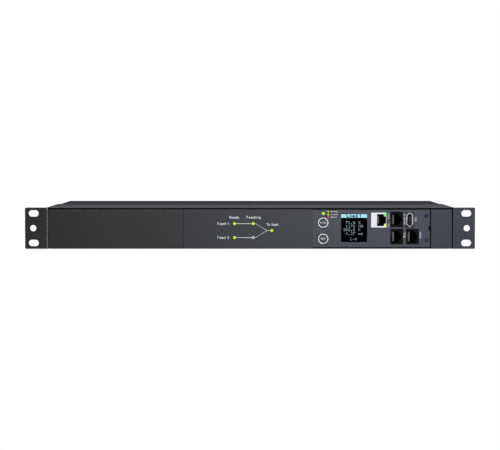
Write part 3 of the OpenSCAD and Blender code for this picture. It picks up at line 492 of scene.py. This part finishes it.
def line(bm, p, q, w, y0, y1):
    p, q = Vector(p), Vector(q)
    d = (q - p).normalized()
    n = Vector((-d.y, d.x)) * (w / 2)
    slab(bm, [tuple(p + n), tuple(p - n), tuple(q - n), tuple(q + n)], y0, y1)


def stroke(bm, pts, w, y0, y1, plane="xz", side=1):
    """One closed ribbon of width w along a polyline, with mitred corners and square ends."""
    p = [Vector(q) for q in pts]
    closed = len(p) > 2 and (p[0] - p[-1]).length < 1e-6
    if closed:
        p = p[:-1]
    n = len(p)
    d = [(p[(i + 1) % n] - p[i]).normalized() for i in range(n if closed else n - 1)]
    if not closed:
        p[0] = p[0] - d[0] * (w / 2)
        p[-1] = p[-1] + d[-1] * (w / 2)
    left, right = [], []
    for i in range(n):
        a = d[i - 1] if (closed or i > 0) else d[0]
        b = d[i] if (closed or i < n - 1) else d[-1]
        na, nb = Vector((-a.y, a.x)), Vector((-b.y, b.x))
        m = na + nb
        m = m.normalized() if m.length > 1e-6 else na
        k = (w / 2) / max(0.45, m.dot(na))
        left.append(p[i] + m * k)
        right.append(p[i] - m * k)
    # an open stroke sinks a little along its length, so that where it meets itself no two faces lie in one plane
    sink = 0.0 if closed else (y1 - y0) * 0.015
    ring4 = []
    for i, (l, r) in enumerate(zip(left, right)):
        yf = y0 + sink * min(i, 14)
        ring4.append([bm.verts.new(at(v, y, plane, side)) for v, y in ((l, yf), (r, yf), (r, y1), (l, y1))])
    for i in range(n if closed else n - 1):
        u, v = ring4[i], ring4[(i + 1) % n]
        for k in range(4):
            bm.faces.new((u[k], v[k], v[(k + 1) % 4], u[(k + 1) % 4]))
    if not closed:
        bm.faces.new(ring4[0])
        bm.faces.new(ring4[-1][::-1])


def at(v, y, plane, side):
    """A point of a print in millimetres, on a front or rear face (xz) or on the top (xy)."""
    if plane == "xz":
        return (v.x * MM * side, y, v.y * MM)
    return (v.x * MM, v.y * MM, y)


def disc(bm, x, z, r, y0, y1, seg=40):
    slab(bm, [(x + r * math.cos(i * math.tau / seg), z + r * math.sin(i * math.tau / seg)) for i in range(seg)], y0, y1)


def ring(bm, x, z, r0, r1, y0, y1, seg=64):
    """A closed flat ring."""
    vs = []
    for i in range(seg):
        a = i * math.tau / seg
        c, s = math.cos(a), math.sin(a)
        vs.append([bm.verts.new(((x + r * c) * MM, y, (z + r * s) * MM)) for r, y in ((r0, y0), (r1, y0), (r1, y1), (r0, y1))])
    for i in range(seg):
        p, q = vs[i], vs[(i + 1) % seg]
        for k in range(4):
            bm.faces.new((p[k], q[k], q[(k + 1) % 4], p[(k + 1) % 4]))


# stroke letters on a 4 x 6 grid: lists of polylines
G = {
    "0": [[(0, 1), (0, 5), (1, 6), (3, 6), (4, 5), (4, 1), (3, 0), (1, 0), (0, 1)]],
    "1": [[(0.6, 4.6), (2, 6), (2, 0)]],
    "2": [[(0, 5), (1, 6), (3, 6), (4, 5), (4, 4), (0, 0), (4, 0)]],
    "3": [[(0, 5.4), (1, 6), (3, 6), (4, 5), (4, 4), (3, 3.2), (1.4, 3.2)], [(3, 3.2), (4, 2.2), (4, 1), (3, 0), (1, 0), (0, 0.7)]],
    "4": [[(3, 0), (3, 6), (0, 2), (4, 2)]],
    "5": [[(4, 6), (0.3, 6), (0, 3.2), (3, 3.6), (4, 2.6), (4, 1), (3, 0), (1, 0), (0, 0.8)]],
    "6": [[(3.6, 6), (1.5, 5.2), (0, 3), (0, 1), (1, 0), (3, 0), (4, 1), (4, 2.4), (3, 3.4), (1, 3.4), (0, 2.4)]],
    "7": [[(0, 6), (4, 6), (1.4, 0)]],
    "8": [[(1, 3.2), (0, 4.2), (0, 5), (1, 6), (3, 6), (4, 5), (4, 4.2), (3, 3.2), (1, 3.2), (0, 2.2), (0, 1), (1, 0), (3, 0), (4, 1), (4, 2.2), (3, 3.2)]],
    "9": [[(0.4, 0), (2.5, 0.8), (4, 3), (4, 5), (3, 6), (1, 6), (0, 5), (0, 3.6), (1, 2.6), (3, 2.6), (4, 3.6)]],
    "A": [[(0, 0), (2, 6), (4, 0)], [(0.8, 2.2), (3.2, 2.2)]],
    "B": [[(0, 0), (0, 6), (2.8, 6), (3.7, 5.2), (3.7, 4), (2.8, 3.2), (0, 3.2)], [(2.8, 3.2), (4, 2.3), (4, 0.9), (3, 0), (0, 0)]],
    "C": [[(4, 5), (3, 6), (1, 6), (0, 5), (0, 1), (1, 0), (3, 0), (4, 1)]],
    "D": [[(0, 0), (0, 6), (2.6, 6), (4, 4.6), (4, 1.4), (2.6, 0), (0, 0)]],
    "E": [[(4, 6), (0, 6), (0, 0), (4, 0)], [(0, 3.1), (3.2, 3.1)]],
    "F": [[(4, 6), (0, 6), (0, 0)], [(0, 3.1), (3.2, 3.1)]],
    "G": [[(4, 5), (3, 6), (1, 6), (0, 5), (0, 1), (1, 0), (3, 0), (4, 1), (4, 2.9), (2.4, 2.9)]],
    "H": [[(0, 0), (0, 6)], [(4, 0), (4, 6)], [(0, 3.1), (4, 3.1)]],
    "I": [[(2, 0), (2, 6)]],
    "K": [[(0, 0), (0, 6)], [(4, 6), (0.2, 2.6)], [(1.4, 3.6), (4, 0)]],
    "L": [[(0, 6), (0, 0), (3.6, 0)]],
    "N": [[(0, 0), (0, 6), (4, 0), (4, 6)]],
    "O": [[(0, 1), (0, 5), (1, 6), (3, 6), (4, 5), (4, 1), (3, 0), (1, 0), (0, 1)]],
    "P": [[(0, 0), (0, 6), (3, 6), (4, 5.1), (4, 3.8), (3, 2.9), (0, 2.9)]],
    "R": [[(0, 0), (0, 6), (3, 6), (4, 5.1), (4, 3.8), (3, 2.9), (0, 2.9)], [(2, 2.9), (4, 0)]],
    "S": [[(4, 5.1), (3, 6), (1, 6), (0, 5.1), (0, 4), (1, 3.2), (3, 2.8), (4, 2), (4, 0.9), (3, 0), (1, 0), (0, 0.9)]],
    "T": [[(0, 6), (4, 6)], [(2, 6), (2, 0)]],
    "U": [[(0, 6), (0, 1), (1, 0), (3, 0), (4, 1), (4, 6)]],
    "V": [[(0, 6), (2, 0), (4, 6)]],
    "W": [[(0, 6), (1, 0), (2, 4), (3, 0), (4, 6)]],
    "X": [[(0, 0), (4, 6)], [(0, 6), (4, 0)]],
    "Y": [[(0, 6), (2, 3), (4, 6)], [(2, 3), (2, 0)]],
    "a": [[(0.2, 3.4), (1, 4), (2.6, 4), (3.5, 3.2), (3.5, 0)], [(3.5, 2.3), (1, 2.3), (0, 1.6), (0, 0.7), (0.9, 0), (2.3, 0), (3.5, 0.8)]],
    "c": [[(3.4, 3.3), (2.6, 4), (1, 4), (0, 3), (0, 1), (1, 0), (2.6, 0), (3.4, 0.7)]],
    "d": [[(3.6, 6), (3.6, 0)], [(3.6, 3), (2.6, 4), (1, 4), (0, 3), (0, 1), (1, 0), (2.6, 0), (3.6, 1)]],
    "e": [[(0, 2.1), (3.6, 2.1), (3.6, 3), (2.7, 4), (0.9, 4), (0, 3), (0, 1), (0.9, 0), (2.8, 0), (3.5, 0.6)]],
    "g": [[(3.6, 4), (3.6, -0.8), (2.7, -1.7), (0.6, -1.7)], [(3.6, 3), (2.6, 4), (1, 4), (0, 3), (0, 1), (1, 0), (2.6, 0), (3.6, 1)]],
    "h": [[(0, 6), (0, 0)], [(0, 2.8), (1, 4), (2.6, 4), (3.5, 3.1), (3.5, 0)]],
    "i": [[(0.6, 4), (0.6, 0)], [(0.6, 5.6), (0.6, 5.4)]],
    "k": [[(0, 6), (0, 0)], [(3.3, 4), (0.2, 1.6)], [(1.2, 2.4), (3.5, 0)]],
    "l": [[(0.6, 6), (0.6, 0)]],
    "n": [[(0, 4), (0, 0)], [(0, 2.8), (1, 4), (2.6, 4), (3.5, 3.1), (3.5, 0)]],
    "o": [[(0, 1), (0, 3), (1, 4), (2.6, 4), (3.6, 3), (3.6, 1), (2.6, 0), (1, 0), (0, 1)]],
    "r": [[(0, 4), (0, 0)], [(0, 2.6), (1.2, 4), (2.4, 4)]],
    "s": [[(3.3, 3.4), (2.5, 4), (0.9, 4), (0.1, 3.3), (0.1, 2.7), (0.8, 2.1), (2.6, 1.9), (3.3, 1.3), (3.3, 0.7), (2.5, 0), (0.8, 0), (0, 0.6)]],
    "t": [[(1, 5.4), (1, 0.7), (1.7, 0), (2.5, 0)], [(0, 4), (2.4, 4)]],
    "u": [[(0, 4), (0, 1), (0.9, 0), (2.4, 0), (3.5, 1.2)], [(3.5, 4), (3.5, 0)]],
    "v": [[(0, 4), (1.8, 0), (3.6, 4)]],
    "w": [[(0, 4), (1, 0), (2, 3.2), (3, 0), (4, 4)]],
    "x": [[(0, 0), (3.4, 4)], [(0, 4), (3.4, 0)]],
    "y": [[(0, 4), (1.8, 0.2)], [(3.6, 4), (1.2, -1.7), (0.3, -1.7)]],
}
ADV = {" ": 1.6, "I": 1.2, "1": 1.2, "i": 1.2, "l": 1.2, "r": 2.5, "t": 2.5, "w": 4.0}


def adv(c):
    return ADV.get(c, 3.6 if c.islower() else 4.0)


def width(text, h, gap=1.7):
    return sum(adv(c) * h / 6 for c in text) + (len(text) - 1) * gap * h / 6


def letters(bm, text, x, z, h, w, y0, y1, turn=0, align="left", gap=1.7, plane="xz", side=1):
    """Stroke lettering: x, z is the baseline's start (or middle), h the cap height, w the stroke, all in mm."""
    k = h / 6
    tw = width(text, h, gap)
    cur = {"left": 0.0, "mid": -tw / 2, "right": -tw}[align]
    ca, sa = math.cos(math.radians(turn)), math.sin(math.radians(turn))
    for c in text:
        cw = adv(c) * k
        off = -(4 * k - cw) / 2 if c in "I1" else 0.0
        for j, poly in enumerate(G.get(c, [])):
            pts = [((cur + off + px * k), pz * k) for px, pz in poly]
            pts = [(x + a * ca - b * sa, z + a * sa + b * ca) for a, b in pts]
            stroke(bm, pts, w, y0 + (y1 - y0) * 0.2 * j, y1, plane, side)
        cur += cw + gap * k


DOT = {
    "0": "01110 10001 10011 10101 11001 10001 01110", "1": "00100 01100 00100 00100 00100 00100 01110",
    "2": "01110 10001 00001 00010 00100 01000 11111", "3": "11111 00010 00100 00010 00001 10001 01110",
    "4": "00010 00110 01010 10010 11111 00010 00010", "5": "11111 10000 11110 00001 00001 10001 01110",
    "6": "00110 01000 10000 11110 10001 10001 01110", "7": "11111 00001 00010 00100 01000 01000 01000",
    "8": "01110 10001 10001 01110 10001 10001 01110", "9": "01110 10001 10001 01111 00001 00010 01100",
    ".": "00000 00000 00000 00000 00000 01100 01100", ":": "00000 01100 01100 00000 01100 01100 00000",
    "/": "00000 00001 00010 00100 01000 10000 00000", "A": "01110 10001 10001 10001 11111 10001 10001",
    "V": "10001 10001 10001 10001 10001 01010 00100", "W": "10001 10001 10001 10101 10101 10101 01010",
    "L": "10000 10000 10000 10000 10000 10000 11111", "O": "01110 10001 10001 10001 10001 10001 01110",
    "D": "11110 10001 10001 10001 10001 10001 11110", "k": "10000 10000 10010 10100 11000 10100 10010", "H": "10001 10001 10001 11111 10001 10001 10001",
    "z": "00000 00000 11111 00010 00100 01000 11111", " ": "00000 00000 00000 00000 00000 00000 00000",
    "%": "11000 11001 00010 00100 01000 10011 00011", "h": "10000 10000 10110 11001 10001 10001 10001",
    "m": "00000 00000 11010 10101 10101 10101 10101", "s": "00000 00000 01111 10000 01110 00001 11110",
}


def dots(bm, text, x, z, cell, y0, y1, adv=6, fill=0.92, tall=None):
    """Dot-matrix characters: x, z is the top left, cell the pitch of a dot in mm, tall its pitch downwards."""
    tall = tall or cell
    for i, c in enumerate(text):
        for r, row in enumerate(DOT[c].split()):
            k = 0
            while k < 5:
                if row[k] == "1":
                    e = k
                    while e + 1 < 5 and row[e + 1] == "1":
                        e += 1
                    x0 = x + (i * adv + k) * cell
                    bar(bm, x0, z - (r + fill) * tall, x0 + (e - k + fill) * cell, z - r * tall, y0, y1)
                    k = e
                k += 1


def px(u):
    return (u - 250) / 0.93245


def pz(v):
    return (228.12 - v) / 0.93245


# --- mimic diagram on the film
bm = bmesh.new()
y0, y1 = FRONT - T, FRONT - 0.000002
for z in (4.95, -10.05):
    bar(bm, -14.9, z - 0.38, 1.8, z + 0.38, y0, y1)
piece("mimic_lines", bm, INK_GREY_FILM, "chassis")
bm = bmesh.new()
stroke(bm, [(5.2, 4.95), (6.0, 4.85), (18.2, -2.5)], 0.42, y0, y1)
stroke(bm, [(18.0, -2.5), (21.9, -2.5)], 0.5, y0 + 0.000001, y1)
stroke(bm, [(5.2, -10.05), (6.0, -9.95), (18.2, -2.5)], 0.42, y0 + 0.000002, y1)
piece("mimic_junction", bm, INK_GREY_FILM, "chassis")
bm = bmesh.new()
w = 0.32
letters(bm, "Feed 1", px(223.1), pz(225.2) + 0.55, 2.35, w, y0, y1, align="mid", gap=2.5)
letters(bm, "Feed 2", px(223.3), pz(239.1) + 0.55, 2.35, w, y0, y1, align="mid", gap=2.1)
letters(bm, "Ready", px(234.4), pz(218.9) + 0.7, 2.3, w, y0, y1, align="mid", gap=2.1)
letters(bm, "Feeding", px(253.5), pz(218.9) + 0.7, 2.3, w, y0, y1, align="mid", gap=2.6)
letters(bm, "To load", px(272.2), pz(225.9) + 0.55, 2.3, w, y0, y1, align="mid", gap=1.6)
piece("mimic_letters", bm, INK_FILM, "chassis")
# painted shade: a thin dark line along the film's cut edge on its left side
bm = bmesh.new()
flo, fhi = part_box("mimic_overlay_film")
bar(bm, flo.x * 1000 + 0.02, flo.z * 1000 + 0.05, flo.x * 1000 + 0.32, fhi.z * 1000 - 0.05, y0 + 0.00001, y1)
piece("film_edge_shade_line", bm, INK_EDGE_SHADE, "chassis")

# --- module prints
y0, y1 = PLATE - T, PLATE - 0.000002
# painted light: the legend dots glow by their own colour
bm = bmesh.new()
disc(bm, 83.85, 17.85, 0.8, y0, y1, 24)
piece("legend_dot_green", bm, ink("legend_green", rgb(206, 236, 40), 0.5), "chassis")
bm = bmesh.new()
disc(bm, 83.85, 14.65, 0.8, y0, y1, 24)
piece("legend_dot_yellow", bm, ink("legend_yellow", rgb(236, 222, 36), 0.45), "chassis")
bm = bmesh.new()
disc(bm, 83.85, 11.9, 0.86, y0, y1, 24)
piece("legend_dot_red", bm, ink("legend_red", rgb(232, 30, 66), 0.4), "chassis")
bm = bmesh.new()
for z, t in ((17.99, "Ready"), (14.77, "Check"), (11.9, "Fault")):
    letters(bm, t, 86.7, z - 0.7, 1.4, 0.28, y0, y1, gap=3.0)
piece("legend_letters", bm, INK, "chassis")

# shadow paint in the module screws: the upper one's rim and socket, the lower one's cross
hy0, hy1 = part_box("module_screws")[0].y - T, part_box("module_screws")[0].y - 0.000002
bm = bmesh.new()
ring(bm, 189.1, 13.1, 1.98, 2.3, hy0, hy1)
disc(bm, 189.1, 13.1, 1.05, hy0, hy1, 24)
for a in (45, 135):
    c, d = math.cos(math.radians(a)) * 1.7, math.sin(math.radians(a)) * 1.7
    stroke(bm, [(189.1 - c, -13.0 - d), (189.1 + c, -13.0 + d)], 0.7, hy0 + (a - 45) * 2e-8, hy1)
piece("module_screw_marks", bm, INK_SHADOW, "chassis")

# button rings and words
yb0, yb1 = CAP - T, CAP - 0.000002
for nm, z, word in (("select_button", 6.0, "Next"), ("enter_button", -11.3, "Set")):
    bm = bmesh.new()
    ring(bm, 78.45, z, 4.56, 5.54, yb0, yb1)
    piece(f"{nm}_ring", bm, INK_WHITE, nm)
    bm = bmesh.new()
    letters(bm, word, 78.45, z - 0.8, 1.9, 0.32, yb0, yb1, align="mid", gap=1.9)
    piece(f"{nm}_word", bm, INK, nm)

# port labels, turned
bm = bmesh.new()
letters(bm, "Net", px(388.5) + 0.8, 3.0, 1.6, 0.27, y0, y1, turn=90, align="mid", gap=2.1)
letters(bm, "Port", px(388.5) + 0.8, 12.9, 1.6, 0.27, y0, y1, turn=90, align="mid", gap=2.1)
letters(bm, "Serial 2", px(404.5) + 0.8, 9.6, 1.75, 0.29, y0, y1, turn=90, align="mid", gap=2.1)
letters(bm, "Bus", px(404.5) + 0.8, -7.4, 1.75, 0.29, y0, y1, turn=90, align="mid", gap=2.1)
letters(bm, "Data", px(420.3) + 0.8, -7.6, 1.75, 0.29, y0, y1, turn=90, align="mid", gap=2.1)
letters(bm, "Aux", px(415.5) + 0.8, 9.4, 1.75, 0.29, y0, y1, turn=90, align="mid", gap=2.1)
piece("port_labels", bm, INK, "chassis")

# painted shade: a dark line round the punched edge of the small socket
bm = bmesh.new()
sx, sz, hx, hz = 171.2, 8.8, 4.08, 7.98
stroke(bm, [(sx - hx, sz - hz), (sx + hx, sz - hz), (sx + hx, sz + hz), (sx - hx, sz + hz), (sx - hx, sz - hz)], 0.34, y0, y1)
piece("socket_edge_shade_line", bm, INK_EDGE_SHADE, "chassis")
# and the rim's four cut corners are in shade: c is the corner's cut, a the width of the shade along the rim
cy0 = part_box("expansion_socket_shell")[0].y
bm = bmesh.new()
for qx, qz, c, a in ((-1, 1, 1.6, 0.9), (1, 1, 1.1, 0.8), (1, -1, 1.8, 1.0), (-1, -1, 2.2, 0.9)):
    cx, cz = sx + qx * 3.58, sz + qz * 7.48
    slab(bm, [(cx - qx * u, cz - qz * v) for u, v in ((c, 0), (c + a, 0), (0, c + a), (0, c))], cy0 - T, cy0 - 0.000002)
piece("socket_corner_shade", bm, INK_SHADOW, "chassis")

# --- display picture, bonded to the lens
wlo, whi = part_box("display_window")
DX0, DX1 = 97.75, 125.45
DZ0, DZ1 = -14.75, 14.95
yd = wlo.y
ya, yb = yd - 0.00003, yd - 0.000002
LCD_HEAD = ink("lcd_header", rgb(160, 218, 231), 0.41, spec=0.1)
LCD_TEXT = ink("lcd_text", rgb(166, 190, 197), 0.28, spec=0.1)
LCD_DARK = ink("lcd_dark", rgb(8, 16, 22), spec=0.02)
bm = bmesh.new()
bar(bm, DX0, 11.2, DX1, DZ1, ya, yb)
piece("display_header", bm, LCD_HEAD, "chassis")
bm = bmesh.new()
letters(bm, "Load 1", 111.3, 11.72, 2.9, 0.8, ya - 0.00002, ya - 0.000001, align="mid", gap=2.6)
piece("display_header_digits", bm, LCD_DARK, "chassis")
bm = bmesh.new()
rows = [(" 71.4", "%"), (" 1172", "VA"), ("382.6", "h"), (" 4.27", "ms")]
for (a, u), v in zip(rows, (221.3, 224.9, 228.4, 232.2)):
    dots(bm, a, px(343.4), pz(v), 0.435, ya, yb, fill=0.74, tall=0.41)
    dots(bm, u, px(358.3), pz(v), 0.435, ya, yb, fill=0.74, tall=0.41)
dots(bm, "1/4", px(349.9), pz(237.9), 0.435, ya, yb, fill=0.74, tall=0.41)
piece("display_text", bm, LCD_TEXT, "chassis")


# --- plain numbers on the rear lip, read from behind
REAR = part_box("top_cover")[1].y
yr0, yr1 = REAR + 0.000002, REAR + T
bm = bmesh.new()
n = 0
for bx in (139.0, -3.0):
    for i in (1.5, 0.5, -0.5, -1.5):
        n += 1
        letters(bm, str(n), -(bx + i * 31), 13.6, 2.3, 0.36, yr0, yr1, align="mid", side=-1)
letters(bm, "IN 1", 161.5, 13.6, 2.3, 0.36, yr0, yr1, align="mid", side=-1)
letters(bm, "IN 2", 201.5, 13.6, 2.3, 0.36, yr0, yr1, align="mid", side=-1)
letters(bm, "RESET 1", 84, 13.6, 1.7, 0.3, yr0, yr1, align="mid", side=-1)
letters(bm, "RESET 2", 106, 13.6, 1.7, 0.3, yr0, yr1, align="mid", side=-1)
# earth mark over the stud: a stem and three bars
bar(bm, -124.2, 15.4, -123.8, 17.2, yr0, yr1)
for k, hw in enumerate((1.9, 1.25, 0.6)):
    bar(bm, -124 - hw, 15.05 - k * 0.75, -124 + hw, 15.4 - k * 0.75, yr0, yr1)
piece("rear_numbers", bm, INK_GREY, "chassis")


# ------------------------------------------------------------------ floor, backdrop and light
def white(name, strength=1.0):
    m = bpy.data.materials.new(name)
    m.use_nodes = True
    nt = m.node_tree
    nt.nodes.clear()
    out = nt.nodes.new("ShaderNodeOutputMaterial")
    e = nt.nodes.new("ShaderNodeEmission")
    e.inputs[0].default_value = (1, 1, 1, 1)
    e.inputs[1].default_value = strength
    nt.links.new(e.outputs[0], out.inputs[0])
    return m


zmin = BOX0[0][2]
me = bpy.data.meshes.new("floor")
me.from_pydata([(-6, -6, 0), (6, -6, 0), (6, 6, 0), (-6, 6, 0)], [], [(0, 1, 2, 3)])
floor = bpy.data.objects.new("floor", me)
floor.location = (0, 0, zmin - 0.0005)
scene.collection.objects.link(floor)
me.materials.append(white("floor_white", 1.0))
floor.visible_diffuse = False
floor.visible_glossy = False
floor.visible_shadow = False

world = bpy.data.worlds.new("studio")
scene.world = world
world.use_nodes = True
nt = world.node_tree
nt.nodes.clear()
out = nt.nodes.new("ShaderNodeOutputWorld")
lp = nt.nodes.new("ShaderNodeLightPath")
bg_cam = nt.nodes.new("ShaderNodeBackground")
bg_cam.inputs[0].default_value = (1, 1, 1, 1)
bg_cam.inputs[1].default_value = 1.0
bg = nt.nodes.new("ShaderNodeBackground")
bg.inputs[0].default_value = (0.96, 0.96, 0.68, 1)
bg.inputs[1].default_value = 0.0405
bg_gloss = nt.nodes.new("ShaderNodeBackground")
bg_gloss.inputs[0].default_value = (1.0, 1.0, 0.88, 1)
bg_gloss.inputs[1].default_value = 0.055
mg = nt.nodes.new("ShaderNodeMixShader")
nt.links.new(lp.outputs["Is Glossy Ray"], mg.inputs[0])
nt.links.new(bg.outputs[0], mg.inputs[1])
nt.links.new(bg_gloss.outputs[0], mg.inputs[2])
mx = nt.nodes.new("ShaderNodeMixShader")
nt.links.new(lp.outputs["Is Camera Ray"], mx.inputs[0])
nt.links.new(mg.outputs[0], mx.inputs[1])
nt.links.new(bg_cam.outputs[0], mx.inputs[2])
nt.links.new(mx.outputs[0], out.inputs[0])


def area(name, loc, aim, size, power, color=(1, 1, 1), size_y=None):
    l = bpy.data.lights.new(name, "AREA")
    l.energy = power
    l.color = color
    l.shape = "RECTANGLE"
    l.size = size
    l.size_y = size_y or size
    o = bpy.data.objects.new(name, l)
    scene.collection.objects.link(o)
    o.location = loc
    d = Vector(aim) - Vector(loc)
    o.rotation_euler = d.to_track_quat("-Z", "Y").to_euler()
    o.visible_camera = False
    return o


area("key", (0.115, -0.5, 0.14), (0.115, 0, 0), 0.24, 1.86, (1.0, 0.98, 0.82), 0.12)
area("fill_right", (0.32, -0.34, 0.0), (0.18, 0, 0), 0.3, 0.33, (0.09, 0.22, 1.0), 0.06)
area("top_strip", (0.0, 0.01, 0.165), (0, 0.0101, 0), 1.3, 1.62, (0.97, 0.94, 1.0), 0.05)
# light from a pale floor, which reaches the lower folds and the underside
area("floor_bounce", (0.0, 0.12, -0.9), (0.0, 0.121, 0), 0.9, 1.6, (1.0, 1.0, 0.95), 0.25)
area("top_soft", (0.0, 0.15, 1.0), (0, 0.12, 0), 0.8, 0.3, (1.0, 0.98, 1.0), 0.5)
# low strips that reach the rear and the two sides, and neither the front nor the top
area("rear_strip", (0.1, 1.2, 0.0), (0.0, 0, 0), 1.6, 7.0, (1.0, 1.0, 1.0), 0.04)
area("left_strip", (-1.3, 0.3, 0.0), (0, 0.12, 0), 0.5, 5.0, (1.0, 1.0, 1.0), 0.04)
area("right_strip", (1.3, 0.3, 0.0), (0, 0.12, 0), 0.5, 5.0, (1.0, 1.0, 1.0), 0.04)
